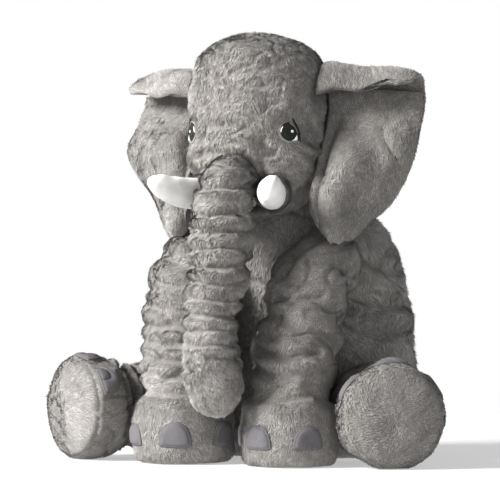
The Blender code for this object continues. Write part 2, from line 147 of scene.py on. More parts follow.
def furrows(grid, bearings, heights, lines):
    """Sewn or pressed folds round an upright piece, along lines of (bearing, height)."""
    radius = np.linalg.norm(grid[..., :2] - grid[..., :2].mean(1, keepdims=True), axis=-1).mean(1)[:, None]
    move = fold_depth(np.broadcast_to(bearings, grid.shape[:2]), heights, lines, radius, radius.mean())
    return grid + outward(grid) * move[..., None]


def bulge(grid, centre, radius, height):
    """A soft lump or hollow: points move out by height x exp(-(distance to centre / radius)^2)."""
    distance = np.linalg.norm(grid - np.asarray(centre, float), axis=-1)
    return grid + outward(grid) * (height * np.exp(-(distance / radius) ** 2))[..., None]


def closed_skin(name, grid, finish, smooth=True):
    """A closed surface from rings of points: quads between the rings, and a fan to the middle of the
    first and of the last ring."""
    rings, around = grid.shape[:2]
    points = np.concatenate([grid.reshape(-1, 3), grid[:1].mean(1), grid[-1:].mean(1)])
    i, j = np.meshgrid(np.arange(rings - 1), np.arange(around), indexing="ij")
    k = (j + 1) % around
    quads = np.stack([i * around + j, i * around + k, (i + 1) * around + k, (i + 1) * around + j], -1)
    j = np.arange(around)
    k = (j + 1) % around
    low, high = rings * around, rings * around + 1
    last = (rings - 1) * around
    fans = np.concatenate([np.stack([np.full(around, low), k, j], -1),
                           np.stack([np.full(around, high), last + j, last + k], -1)])
    mesh = bpy.data.meshes.new(name)
    mesh.from_pydata(points.tolist(), [], quads.reshape(-1, 4).tolist() + fans.tolist())
    mesh.polygons.foreach_set("use_smooth", np.full(len(mesh.polygons), smooth))
    mesh.materials.append(finish)
    mesh.update()
    piece = bpy.data.objects.new(name, mesh)
    bpy.context.scene.collection.objects.link(piece)
    return piece


def pile(name, grid, finish, seed, bare=None, length=PILE_LENGTH, gap=PILE_GAP, lean=PILE_LEAN,
         nap=math.pi, closed=True, swirl=0.55, depth=0.0006):
    """Brushed pile: each tuft is a slim closed spike with three points at its root and one at its tip.

    Roots are spread evenly by area over the grid. A tuft's direction is normal x cos(lean) + way x
    sin(lean), where way turns from the direction of travel by the nap angle plus ripples, so that
    neighbours gather into locks. Points with bare above 0.5 carry no tufts."""
    rng = np.random.default_rng(seed)
    normals = outward(grid, closed)
    columns = grid.shape[1] if closed else grid.shape[1] - 1
    nxt = (np.arange(columns) + 1) % grid.shape[1]
    a, b = grid[:-1, :columns], grid[:-1, nxt]
    c, d = grid[1:, nxt], grid[1:, :columns]
    area = 0.5 * (np.linalg.norm(np.cross(b - a, c - a), axis=-1)
                  + np.linalg.norm(np.cross(c - a, d - a), axis=-1))
    if bare is not None:
        area = area * (bare[:-1, :columns] < 0.5)
    total = np.cumsum(area.ravel())
    count = int(total[-1] / gap ** 2)
    cell = np.searchsorted(total, (np.arange(count) + rng.uniform(0, 1, count)) / count * total[-1])
    cell = np.minimum(cell, area.size - 1)
    i, j = cell // columns, cell % columns
    u, v = rng.uniform(0, 1, (2, count, 1))

    def read(table):
        """The table's value at each root, bilinear between the corners of its cell."""
        return ((1 - u) * (1 - v) * table[i, j] + u * (1 - v) * table[i, nxt[j]]
                + u * v * table[i + 1, nxt[j]] + (1 - u) * v * table[i + 1, j])

    root, normal = read(grid), unit(read(normals))
    travel = unit(read(np.gradient(grid, axis=0)))
    side = unit(np.cross(travel, normal))
    travel = np.cross(normal, side)
    angle = nap + swirl * ripple(root, 0.060, seed + 1) + 0.30 * ripple(root, 0.016, seed + 2)
    angle += rng.normal(0, 0.10, count)
    way = np.cos(angle)[:, None] * travel + np.sin(angle)[:, None] * side
    tilt = lean + 0.12 * ripple(root, 0.014, seed + 3) + rng.normal(0, 0.05, count)
    tilt = np.clip(tilt, 0.25, 1.32)[:, None]
    direction = normal * np.cos(tilt) + way * np.sin(tilt)
    locks = ripple(root, 0.0085, seed + 4)
    reach = length * (1 + 0.14 * locks + rng.normal(0, 0.10, count))[:, None]
    across = unit(np.cross(direction, normal))
    flat = np.cross(across, direction)
    half = rng.uniform(0.0008, 0.0013, (count, 1))
    base = root - normal * depth
    tip = base + direction * reach
    corners = np.stack([base - across * half, base + across * half, base - flat * half * 0.8, tip], 1)
    corners[..., 2] = np.maximum(corners[..., 2], 0.0006)
    start = 4 * np.arange(count)[:, None]
    faces = np.stack([start + (0, 1, 3), start + (1, 2, 3), start + (2, 0, 3), start + (0, 2, 1)], 1)
    mesh = bpy.data.meshes.new(name)
    mesh.vertices.add(4 * count)
    mesh.vertices.foreach_set("co", corners.ravel())
    mesh.loops.add(12 * count)
    mesh.loops.foreach_set("vertex_index", faces.ravel().astype(np.int32))
    mesh.polygons.add(4 * count)
    mesh.polygons.foreach_set("loop_start", np.arange(0, 12 * count, 3, dtype=np.int32))
    # Each tuft's root corners get a lower value than its tip, so the root is darker. This is painted shade for
    # the shadow down among the tufts. The tone on top of it varies at random by locks and patches.
    root_shade_and_tone = np.empty((count, 4))
    tone = 0.10 * locks + 0.10 * ripple(root, 0.020, seed + 5) + rng.normal(0, 0.05, count)
    root_shade_and_tone[:, :3] = np.clip(0.40 + tone, 0.1, 1.0)[:, None]
    root_shade_and_tone[:, 3] = np.clip(0.66 + tone, 0.2, 1.0)
    strand_shade_and_tone = mesh.attributes.new("strand_shade_and_tone", "FLOAT", "POINT")
    strand_shade_and_tone.data.foreach_set("value", root_shade_and_tone.ravel().astype(np.float32))
    mesh.materials.append(finish)
    mesh.update()
    loops = corners.reshape(-1, 3)[faces.reshape(-1, 3)]
    facets = unit(np.cross(loops[:, 1] - loops[:, 0], loops[:, 2] - loops[:, 0]))
    soft = unit(0.10 * facets.reshape(count, 4, 3) + (normal * 0.9)[:, None, :])
    mesh.polygons.foreach_set("use_smooth", np.ones(4 * count, bool))
    mesh.normals_split_custom_set(np.repeat(soft.reshape(-1, 3), 3, axis=0))
    piece = bpy.data.objects.new(name, mesh)
    bpy.context.scene.collection.objects.link(piece)
    return piece


def wire(tree, kind, place, **values):
    """One shader node, with its sockets set by name."""
    node = tree.nodes.new(kind)
    node.location = place
    for key, value in values.items():
        node.inputs[key.replace("_", " ")].default_value = value
    return node


def pile_finish(name, dark, light, strands):
    """Short synthetic pile: colour runs from dark at a tuft's root to light at its tip, which is painted shade
    for the shadow deep in the pile. It also wanders a little over hand-sized and finger-sized patches. A faint
    sheen stands for the fibres' gloss."""
    finish = bpy.data.materials.new(name)
    finish.use_nodes = True
    tree = finish.node_tree
    shader = tree.nodes["Principled BSDF"]
    shader.inputs["Roughness"].default_value = 0.95
    shader.inputs["Specular IOR Level"].default_value = 0.15
    shader.inputs["Sheen Weight"].default_value = 0.25
    shader.inputs["Sheen Roughness"].default_value = 0.6
    where = wire(tree, "ShaderNodeTexCoord", (-900, 0))
    broad = wire(tree, "ShaderNodeTexNoise", (-700, 150), Scale=22.0, Detail=2.0)
    fine = wire(tree, "ShaderNodeTexNoise", (-700, -150), Scale=120.0, Detail=3.0)
    tree.links.new(where.outputs["Object"], broad.inputs["Vector"])
    tree.links.new(where.outputs["Object"], fine.inputs["Vector"])
    patches = wire(tree, "ShaderNodeMath", (-500, 100))
    patches.operation = "MULTIPLY_ADD"
    tree.links.new(broad.outputs["Fac"], patches.inputs[0])
    patches.inputs[1].default_value = 0.45
    patches.inputs[2].default_value = -0.225
    flecks = wire(tree, "ShaderNodeMath", (-350, 0))
    flecks.operation = "MULTIPLY_ADD"
    tree.links.new(fine.outputs["Fac"], flecks.inputs[0])
    flecks.inputs[1].default_value = 0.18
    tree.links.new(patches.outputs[0], flecks.inputs[2])
    level = wire(tree, "ShaderNodeMath", (-200, 0))
    level.operation = "ADD"
    tree.links.new(flecks.outputs[0], level.inputs[0])
    # The tufts' per-point value carries their painted root shade. The backing takes a fixed level instead.
    if strands:
        strand_shade_and_tone = wire(tree, "ShaderNodeAttribute", (-500, -300))
        strand_shade_and_tone.attribute_name = "strand_shade_and_tone"
        tree.links.new(strand_shade_and_tone.outputs["Fac"], level.inputs[1])
    else:
        level.inputs[1].default_value = 0.30
    ramp = wire(tree, "ShaderNodeValToRGB", (-50, 0))
    ramp.color_ramp.elements[0].position = 0.12
    ramp.color_ramp.elements[0].color = (*dark, 1)
    ramp.color_ramp.elements[1].position = 1.0
    ramp.color_ramp.elements[1].color = (*light, 1)
    tree.links.new(level.outputs[0], ramp.inputs["Fac"])
    tree.links.new(ramp.outputs["Color"], shader.inputs["Base Color"])
    bump = wire(tree, "ShaderNodeBump", (-50, -300), Strength=0.35, Distance=0.001)
    tree.links.new(fine.outputs["Fac"], bump.inputs["Height"])
    tree.links.new(bump.outputs["Normal"], shader.inputs["Normal"])
    return finish


# The backing under the tufts gets darker colours than the tufts, as painted shade for the depth of the pile.
# The tufts' own dark roots, read from their per-point value, are painted shade too.
backing_painted_shade_finish = pile_finish("pile_backing_painted_shade", (0.160, 0.152, 0.144), (0.33, 0.317, 0.304), False)
tuft_finish = pile_finish("pile_tufts", (0.165, 0.156, 0.148), (0.45, 0.431, 0.412), True)


def upright(rows, rings, around):
    """Rings of an upright sack: (width x sin(bearing), centre y - depth x cos(bearing), height)."""
    table = spaced(rows, rings, 4)
    turn = np.linspace(0, 2 * np.pi, around, endpoint=False)
    x = table[:, 2:3] * np.sin(turn)
    y = table[:, 1:2] - table[:, 3:4] * np.cos(turn)
    return np.stack([x, y, np.broadcast_to(table[:, :1], x.shape)], -1), np.degrees(turn)[None, :]


def wad(name, grid, inset, seed, body, *nodes):
    """Stuffing: the cover's surface moved in by the inset, its lumps smoothed, given small tufted hollows."""
    inner = grid - outward(grid) * inset
    inner[..., 2] = np.maximum(inner[..., 2], 0.004)
    inner = crumple(inner[::2, ::2], 0.030, 0.0012, seed)
    piece = closed_skin(name, inner, stuffing_finish)
    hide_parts(*nodes)
    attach(piece, body)
    return piece


def fibre_finish():
    """Loose white polyester fibre: near-white, matt, with curly bump at two sizes."""
    finish = bpy.data.materials.new("stuffing_fibre")
    finish.use_nodes = True
    tree = finish.node_tree
    shader = tree.nodes["Principled BSDF"]
    shader.inputs["Roughness"].default_value = 1.0
    where = wire(tree, "ShaderNodeTexCoord", (-700, 0))
    curls = wire(tree, "ShaderNodeTexNoise", (-500, 0), Scale=180.0, Detail=4.0, Distortion=1.2)
    tree.links.new(where.outputs["Object"], curls.inputs["Vector"])
    ramp = wire(tree, "ShaderNodeValToRGB", (-300, 0))
    ramp.color_ramp.elements[0].color = (0.70, 0.70, 0.68, 1)
    ramp.color_ramp.elements[1].color = (0.92, 0.92, 0.90, 1)
    tree.links.new(curls.outputs["Fac"], ramp.inputs["Fac"])
    tree.links.new(ramp.outputs["Color"], shader.inputs["Base Color"])
    bump = wire(tree, "ShaderNodeBump", (-300, -250), Strength=0.6, Distance=0.002)
    tree.links.new(curls.outputs["Fac"], bump.inputs["Height"])
    tree.links.new(bump.outputs["Normal"], shader.inputs["Normal"])
    return finish


stuffing_finish = fibre_finish()


def cover(name, grid, node, body):
    """A sewn cover of pile fabric in place of its plain solid."""
    # The cover takes the backing's colour, darkened as painted shade under the pile.
    piece = closed_skin(name, grid, backing_painted_shade_finish)
    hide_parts(node)
    if body:
        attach(piece, body)
    return piece


def coat(name, grid, seed, body, **how):
    """The pile of one cover, which moves with it."""
    piece = pile(name, grid, tuft_finish, seed, **how)
    if body:
        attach(piece, body)
    return piece


torso, torso_bearing = upright(TORSO_ROWS, 170, 220)
torso_smooth = torso
TORSO_FOLDS = (
    # points of (bearing, height), width, depth
    (((40, 0.205), (55, 0.190), (72, 0.182), (88, 0.178), (104, 0.160), (118, 0.120)), 0.0104, 0.0144),
    (((44, 0.240), (62, 0.226), (84, 0.216), (104, 0.214)), 0.0091, 0.0072),
    (((60, 0.275), (84, 0.262), (110, 0.266)), 0.0078, 0.0060),
    (((-40, 0.205), (-55, 0.190), (-72, 0.182), (-88, 0.178), (-104, 0.160), (-118, 0.120)),
    0.0104, 0.0144),
    (((-44, 0.240), (-62, 0.230), (-84, 0.222), (-104, 0.220)), 0.0091, 0.0072),
    (((-60, 0.280), (-84, 0.268), (-110, 0.270)), 0.0078, 0.0060),
    (((150, 0.225), (180, 0.215), (210, 0.222)), 0.0104, 0.0060),
    (((140, 0.300), (180, 0.292), (220, 0.300)), 0.0091, 0.0060),
    (((180, 0.020), (180, 0.210)), 0.0065, 0.0036),
)
torso = furrows(torso, torso_bearing, torso[..., 2], TORSO_FOLDS)
torso_rough = crumple(torso, 0.062, 0.0030, 11, (1.4, 1.4, 0.8))
torso_rough = torso_rough + outward(torso) * (0.0035 * ripple(torso, 0.11, 14))[..., None]
settled = np.clip((torso[..., 2:3] - 0.004) / 0.02, 0, 1)
torso = torso * (1 - settled) + torso_rough * settled
torso[..., 2] = np.maximum(torso[..., 2], 0.0008)
cover("torso_skin", torso, "torso_cover", "torso")
coat("torso_pile", torso, 20, "torso", bare=(torso[..., 2] > 0.372) | (torso[..., 2] < 0.002), gap=0.00240,
     length=0.0074)
wad("torso_stuffing", torso_smooth[4:-4], 0.027, 24, "torso", "torso_fill")


# --- Tail and care label -----------------------------------------------------------------
# A thin sewn tube hangs from the seat seam and ends in a brush of longer pile. The blank tape label
# is folded into the same seam beside it.

TAIL_PATH = (
    (0.000, 0.206, 0.142, 0.0095), (0.000, 0.218, 0.137, 0.0095), (0.000, 0.2265, 0.124, 0.0090),
    (0.000, 0.2310, 0.104, 0.0085), (0.000, 0.2320, 0.082, 0.0080), (0.000, 0.2305, 0.062, 0.0075),
)
BRUSH_PATH = (
    (0.000, 0.2302, 0.066, 0.0070), (0.000, 0.2300, 0.058, 0.0100), (0.000, 0.2290, 0.044, 0.0118),
    (0.000, 0.2280, 0.030, 0.0110), (0.000, 0.2280, 0.018, 0.0080), (0.000, 0.2280, 0.010, 0.0030),
)
LABEL_AT, LABEL_SIZE = (0.060, 0.062), (0.024, 0.036)   # x and z of its middle; width and height


def sleeve(rows, rings, around, side=(1, 0, 0), flat=1.0):
    """A tube along a path of (x, y, z, radius): at each point, with T the direction of travel, A the
    sideways axis made square to it and B = T x A, the ring is point + r (sin(t) A - flat cos(t) B)."""
    table = spaced(rows, rings)
    travel = unit(np.gradient(table[:, :3], axis=0))
    across = np.asarray(side, float) - travel * (travel @ np.asarray(side, float))[:, None]
    across = unit(across)
    up = np.cross(travel, across)
    turn = np.linspace(0, 2 * np.pi, around, endpoint=False)
    ring = np.sin(turn)[None, :, None] * across[:, None] - flat * np.cos(turn)[None, :, None] * up[:, None]
    return table[:, None, :3] + table[:, None, 3:4] * ring, np.degrees(turn)[None, :]


tail, tail_turn = sleeve(TAIL_PATH[::-1], 60, 28)
tail = crumple(tail, 0.020, 0.0008, 31)
cover("tail_skin", tail, "tail_cover", "tail")
coat("tail_pile", tail, 32, "tail", length=0.0065)
brush, brush_turn = sleeve(BRUSH_PATH[::-1], 40, 28)
cover("tail_brush_core", brush, "tail_tuft", "tail")
coat("tail_brush", brush, 34, "tail", length=0.0150, gap=0.00150, lean=1.15)


def tape_finish():
    """White woven tape: fine crossed threads from two wave patterns, in colour and bump."""
    finish = bpy.data.materials.new("woven_tape")
    finish.use_nodes = True
    tree = finish.node_tree
    shader = tree.nodes["Principled BSDF"]
    shader.inputs["Roughness"].default_value = 0.7
    where = wire(tree, "ShaderNodeTexCoord", (-900, 0))
    threads = []
    for direction, place in (("X", (-700, 100)), ("Z", (-700, -150))):
        wave = wire(tree, "ShaderNodeTexWave", place, Scale=900.0, Distortion=0.4)
        wave.bands_direction = direction
        tree.links.new(where.outputs["Object"], wave.inputs["Vector"])
        threads.append(wave)
    weave = wire(tree, "ShaderNodeMath", (-500, 0))
    weave.operation = "MULTIPLY"
    tree.links.new(threads[0].outputs["Fac"], weave.inputs[0])
    tree.links.new(threads[1].outputs["Fac"], weave.inputs[1])
    ramp = wire(tree, "ShaderNodeValToRGB", (-300, 0))
    ramp.color_ramp.elements[0].color = (0.78, 0.78, 0.77, 1)
    ramp.color_ramp.elements[1].color = (0.92, 0.92, 0.91, 1)
    tree.links.new(weave.outputs[0], ramp.inputs["Fac"])
    tree.links.new(ramp.outputs["Color"], shader.inputs["Base Color"])
    bump = wire(tree, "ShaderNodeBump", (-300, -250), Strength=0.4, Distance=0.0002)
    tree.links.new(weave.outputs[0], bump.inputs["Height"])
    tree.links.new(bump.outputs["Normal"], shader.inputs["Normal"])
    return finish


def label_tape():
    """A doubled tape: width along x, and a height that curves away from the back by 5 mm x (1 - h)^2;
    the front and back faces stand 0.5 mm to either side of that sheet."""
    u, h = np.meshgrid(np.linspace(-0.5, 0.5, 25), np.linspace(1, 0, 37))
    x = LABEL_AT[0] + LABEL_SIZE[0] * u
    z = LABEL_AT[1] + LABEL_SIZE[1] * (h - 0.5)
    y = 0.2145 + 0.0045 * (1 - h) ** 2 + 0.0006 * np.sin(9 * u + 4 * h)
    face = np.stack([x, y + 0.0005, z], -1)
    back = np.stack([x, y - 0.0005, z], -1)[:, ::-1]
    return np.concatenate([face, back], 1)


label_ring = label_tape()[::-1]
label = closed_skin("care_label_tape", label_ring, tape_finish(), smooth=False)
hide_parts("care_label")
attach(label, "torso")

# --- Hind legs ----------------------------------------------------------------------------
# Each hind leg is a stuffed sleeve that lies along the ground, with a drum of a foot turned out to
# the side. A round sole is sewn to its rim, and the cloth gathers in a deep crease at the ankle.

HIND_YAW = math.radians(33)
HIND_SOLE = (0.243, -0.147, 0.0700)
HIND_ROWS = (
    # distance back from the sole, radius
    (-0.0060, 0.002), (-0.0055, 0.018), (-0.0035, 0.040), (0.0000, 0.054), (0.0050, 0.0635),
    (0.0120, 0.0690),
    (0.0240, 0.0715), (0.0420, 0.0710), (0.0560, 0.0680), (0.0670, 0.0620), (0.0760, 0.0550),
    (0.0860, 0.0545), (0.1050, 0.0580), (0.1300, 0.0630), (0.1550, 0.0660), (0.1800, 0.0620),
    (0.1980, 0.0480), (0.2060, 0.0250),
)
HIND_FOLDS = (
    # points of (turn from the underside, distance from the sole), width, depth
    (((-170, 0.0115), (-90, 0.0105), (0, 0.0100), (90, 0.0105), (170, 0.0115)), 0.0026, 0.0016),
    (((170, 0.0115), (190, 0.0115)), 0.0026, 0.0016),
    (((100, 0.078), (150, 0.074), (200, 0.078), (250, 0.072)), 0.006, 0.007),
    (((110, 0.100), (160, 0.094), (215, 0.104)), 0.005, 0.004),
    (((120, 0.128), (175, 0.120), (230, 0.132)), 0.006, 0.004),
    (((60, 0.060), (110, 0.063), (140, 0.056)), 0.005, 0.004),
)
NAIL_HALF_WIDTH, NAIL_HEIGHT = 0.0222, 0.0270
HIND_NAIL_FROM_SOLE = 0.0190
HIND_NAIL_SPREAD = 55


def lie_on(grid, levels, turn, level, lift=0.0):
    """Points on a skin: its grid read bilinearly at a turn in degrees and at a level between its rings,
    then moved out along the normal by the lift."""
    around = grid.shape[1]
    column = (np.asarray(turn) % 360) / 360 * around
    row = np.interp(level, levels, np.arange(len(levels)))
    j, i = np.floor(column).astype(int), np.minimum(np.floor(row).astype(int), len(levels) - 2)
    u, v = (column - j)[..., None], (row - i)[..., None]
    j, k = j % around, (j + 1) % around

    def read(table):
        """The table between its four corners."""
        return ((1 - u) * (1 - v) * table[i, j] + u * (1 - v) * table[i, k]
                + u * v * table[i + 1, k] + (1 - u) * v * table[i + 1, j])

    return read(grid) + unit(read(outward(grid))) * np.asarray(lift)[..., None]


def nail_outline(t):
    """A half disc with soft corners: (W cos t, H sin t) above its flat edge and 0.10 H sin t below it."""
    a = NAIL_HALF_WIDTH * np.sign(np.cos(t)) * np.abs(np.cos(t)) ** 0.85
    b = NAIL_HEIGHT * np.where(np.sin(t) > 0, np.sin(t), 0.10 * np.sin(t))
    return a, b


def nail_patch(name, grid, levels, turn, foot, radius, finish, node, body):
    """A half disc of smooth cloth on a foot: rows s from its middle to its outline, raised by 2.2 mm x
    (1 - s^5), with a stitched groove at s = 0.86, and closed by a second layer just under it."""
    s = np.linspace(0.05, 1, 20)[:, None]
    a, b = nail_outline(np.linspace(0, 2 * np.pi, 72, endpoint=False)[None, :])
    a, b = s * a, 0.4 * NAIL_HEIGHT + s * (b - 0.4 * NAIL_HEIGHT)
    raised = 0.0026 * (1 - s ** 5) + 0.0016 - 0.0007 * np.exp(-((s - 0.86) / 0.05) ** 2) + 0 * a
    face = lie_on(grid, levels, turn + np.degrees(a / radius), foot + b, raised)
    under = lie_on(grid, levels, turn + np.degrees(a / radius), foot + b, -0.0012 + 0 * a)
    piece = closed_skin(name, np.concatenate([under, face[::-1]]), finish)
    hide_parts(node)
    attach(piece, body)
    return piece


def under_nails(turns, levels, places, foot, radius):
    """Marks the points of a skin that its nails cover: inside a nail's outline, shrunk by 1 mm."""
    bare = np.zeros(np.broadcast(turns, levels).shape, bool)
    for place in places:
        a = np.radians((turns - place + 180) % 360 - 180) * radius / (NAIL_HALF_WIDTH - 0.0006)
        b = (levels - foot) / NAIL_HEIGHT
        bare |= (np.abs(a) < 1) & (b > -0.08) & (b < np.sqrt(np.clip(1 - np.abs(a) ** 2.2, 0, 1)) - 0.01)
    return bare


def nail_finish():
    """Smooth dull grey-lilac cloth: a faint knitted grain in colour and bump."""
    finish = bpy.data.materials.new("nail_cloth_finish")
    finish.use_nodes = True
    tree = finish.node_tree
    shader = tree.nodes["Principled BSDF"]
    shader.inputs["Roughness"].default_value = 0.85
    shader.inputs["Specular IOR Level"].default_value = 0.2
    where = wire(tree, "ShaderNodeTexCoord", (-900, 0))
    grain = wire(tree, "ShaderNodeTexNoise", (-700, 0), Scale=420.0, Detail=3.0)
    worn = wire(tree, "ShaderNodeTexNoise", (-700, -250), Scale=45.0, Detail=2.0)
    tree.links.new(where.outputs["Object"], grain.inputs["Vector"])
    tree.links.new(where.outputs["Object"], worn.inputs["Vector"])
    both = wire(tree, "ShaderNodeMath", (-500, 0))
    both.operation = "ADD"
    tree.links.new(grain.outputs["Fac"], both.inputs[0])
    tree.links.new(worn.outputs["Fac"], both.inputs[1])
    ramp = wire(tree, "ShaderNodeValToRGB", (-300, 0))
    ramp.color_ramp.elements[0].position = 0.6
    ramp.color_ramp.elements[0].color = (0.111, 0.106, 0.111, 1)
    ramp.color_ramp.elements[1].position = 1.0
    ramp.color_ramp.elements[1].color = (0.167, 0.160, 0.167, 1)
    tree.links.new(both.outputs[0], ramp.inputs["Fac"])
    tree.links.new(ramp.outputs["Color"], shader.inputs["Base Color"])
    bump = wire(tree, "ShaderNodeBump", (-300, -250), Strength=0.35, Distance=0.0004)
    tree.links.new(grain.outputs["Fac"], bump.inputs["Height"])
    tree.links.new(bump.outputs["Normal"], shader.inputs["Normal"])
    return finish


nail_cloth = nail_finish()


def make_hind_leg(hand, mirror, seed):
    """The leg's tube runs from the sole's middle back to the hip, and its underside is pressed flat
    where it lies on the ground."""
    travel = np.array([-mirror * math.sin(HIND_YAW), math.cos(HIND_YAW), 0])
    sole = np.array([mirror * HIND_SOLE[0], HIND_SOLE[1], HIND_SOLE[2]])
    table = spaced(HIND_ROWS, 150, 2)
    table = np.column_stack([sole + table[:, :1] * travel, table[:, 1]])
    turn = np.linspace(0, 2 * np.pi, 190, endpoint=False)
    across = np.cross((0, 0, 1), travel)
    ring = np.sin(turn)[None, :, None] * across - np.cos(turn)[None, :, None] * np.array([0, 0, 1.0])
    leg = table[:, None, :3] + table[:, None, 3:4] * ring
    turns = np.degrees(turn)[None, :]
    back = ((leg - sole) @ travel)
    rough = np.clip((back - 0.012) / 0.02, 0, 1)[..., None]
    lines = [([((180 + mirror * (t - 180)), b) for t, b in points], width, depth)
             for points, width, depth in HIND_FOLDS]
    smooth = leg
    leg = hind_furrows(leg, turns, back, lines)
    leg = leg + outward(leg) * (0.0012 * ripple(leg, 0.05, seed + 7))[..., None]
    leg = leg * (1 - rough) + crumple(leg, 0.045, 0.0030, seed, (1.3, 1.3, 0.8)) * rough
    leg[..., 2] = np.maximum(leg[..., 2], 0.0010)
    body = "hindleg_" + hand
    skin = cover("hind_leg_skin_" + hand, leg, "hindleg_cover_" + hand, "")
    levels = ((leg.mean(1) - sole) @ travel)
    levels = np.maximum.accumulate(levels + np.arange(len(levels)) * 1e-9)
    places = (180 - HIND_NAIL_SPREAD, 180, 180 + HIND_NAIL_SPREAD)
    bare = under_nails(turns, levels[:, None], places, HIND_NAIL_FROM_SOLE, 0.0715)
    bare = bare | (leg[..., 2] < 0.0012) | (back > 0.185)
    coat_piece = coat("hind_leg_pile_" + hand, leg, seed + 1, "", bare=bare, gap=0.00205)
    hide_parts("hindfoot_sole_" + hand)
    for piece in (skin, coat_piece):
        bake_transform(piece)
    wad("hind_leg_stuffing_" + hand, smooth[24:-16], 0.015, seed + 3, body, "hindleg_fill_" + hand)
    names = ("outer", "middle", "inner") if mirror > 0 else ("inner", "middle", "outer")
    for place, name in zip(places, names):
        nail_patch(f"hind_nail_{name}_{hand}", leg, levels, place, HIND_NAIL_FROM_SOLE, 0.0715, nail_cloth,
                   f"hindfoot_nail_{name}_{hand}", body)


def hind_furrows(leg, turns, back, lines):
    """Furrows along (turn, distance from the sole), as on an upright piece."""
    radius = np.linalg.norm(leg - leg.mean(1, keepdims=True), axis=-1).mean(1)[:, None]
    move = fold_depth(np.broadcast_to(turns, leg.shape[:2]), back, lines, np.maximum(radius, 0.05), 0.062)
    return leg + outward(leg) * move[..., None]


for hand, mirror, seed in (("left", 1, 40), ("right", -1, 50)):
    make_hind_leg(hand, mirror, seed)

# --- Forelegs -----------------------------------------------------------------------------
# Each foreleg is a thick stuffed sleeve that props the toy up in front. Its cloth is sewn too long,
# so it bunches in slanting folds, and a tight seam above the foot makes the round foot bulge.

FORELEG_ROWS = {
    "left": (
        # x, y, z, radius
        (0.080, -0.124, 0.0008, 0.0500), (0.080, -0.124, 0.0040, 0.0580), (0.080, -0.124, 0.0140, 0.0640),
        (0.080, -0.124, 0.0400, 0.0665), (0.080, -0.123, 0.0650, 0.0655), (0.080, -0.121, 0.0840, 0.0600),
        (0.080, -0.118, 0.0980, 0.0530), (0.079, -0.110, 0.1250, 0.0560), (0.079, -0.099, 0.1550, 0.0570),
        (0.080, -0.083, 0.2000, 0.0565), (0.084, -0.066, 0.2400, 0.0560), (0.092, -0.042, 0.2660, 0.0520),
        (0.093, -0.020, 0.2880, 0.0420), (0.090, -0.006, 0.2960, 0.0240),
    ),
    "right": (
        (-0.080, -0.124, 0.0008, 0.0520), (-0.080, -0.124, 0.0040, 0.0600),
        (-0.080, -0.124, 0.0140, 0.0665),
        (-0.080, -0.124, 0.0400, 0.0690), (-0.081, -0.123, 0.0650, 0.0670),
        (-0.081, -0.121, 0.0840, 0.0610),
        (-0.082, -0.118, 0.0980, 0.0560), (-0.084, -0.110, 0.1250, 0.0620),
        (-0.086, -0.099, 0.1550, 0.0620),
        (-0.088, -0.083, 0.2000, 0.0650), (-0.092, -0.066, 0.2400, 0.0620),
        (-0.096, -0.042, 0.2660, 0.0550),
        (-0.097, -0.020, 0.2880, 0.0440), (-0.093, -0.006, 0.2960, 0.0250),
    ),
}
FORELEG_FOLDS = {
    "left": (
        # points of (bearing, height), width, depth
        (((22, 0.280), (47, 0.277), (68, 0.266)), 0.0081, 0.0048),
        (((-17, 0.230), (14, 0.222), (45, 0.228)), 0.0073, 0.0043),
        (((34, 0.211), (81, 0.214)), 0.0065, 0.0033),
        (((-65, 0.207), (-11, 0.203), (39, 0.180), (87, 0.164)), 0.0089, 0.0068),
        (((-65, 0.180), (0, 0.174)), 0.0065, 0.0033),
        (((-48, 0.159), (-4, 0.151), (33, 0.147), (50, 0.155)), 0.0078, 0.0053),
        (((-56, 0.139), (-11, 0.126), (20, 0.123), (52, 0.127)), 0.0078, 0.0048),
        (((45, 0.116), (100, 0.107)), 0.0065, 0.0033),
        (((-120, 0.095), (-60, 0.097), (-17, 0.096), (19, 0.093), (56, 0.101), (94, 0.089), (140, 0.094)),
         0.0089, 0.0053),
        (((100, 0.230), (150, 0.215)), 0.0097, 0.0048),
        (((95, 0.195), (150, 0.180)), 0.0097, 0.0048),
        (((90, 0.150), (140, 0.140), (190, 0.150)), 0.0097, 0.0048),
        (((-90, 0.240), (-60, 0.252), (-20, 0.262)), 0.0081, 0.0038),
    ),
    "right": (
        (((-60, 0.276), (-30, 0.284), (0, 0.272)), 0.0081, 0.0048),
        (((-95, 0.244), (-55, 0.232), (-10, 0.238), (20, 0.230)), 0.0081, 0.0053),
        (((-100, 0.212), (-50, 0.218), (-5, 0.206)), 0.0073, 0.0043),
        (((-80, 0.190), (-35, 0.182), (10, 0.190), (40, 0.184)), 0.0089, 0.0063),
        (((-95, 0.160), (-55, 0.168), (-10, 0.160), (30, 0.166)), 0.0073, 0.0043),
        (((-80, 0.140), (-30, 0.146), (20, 0.140)), 0.0073, 0.0048),
        (((-95, 0.118), (-40, 0.124), (5, 0.116), (40, 0.122)), 0.0073, 0.0043),
        (((-140, 0.094), (-90, 0.097), (-40, 0.099), (0, 0.096), (40, 0.099), (90, 0.095), (140, 0.094)),
         0.0089, 0.0053),
        (((-150, 0.225), (-105, 0.215)), 0.0097, 0.0048),
        (((-190, 0.160), (-140, 0.150), (-100, 0.160)), 0.0097, 0.0048),
    ),
}
FORE_HEADING, FORE_NAIL_SPREAD, FORE_NAIL_HEIGHT = -16.5, 63, 0.0275


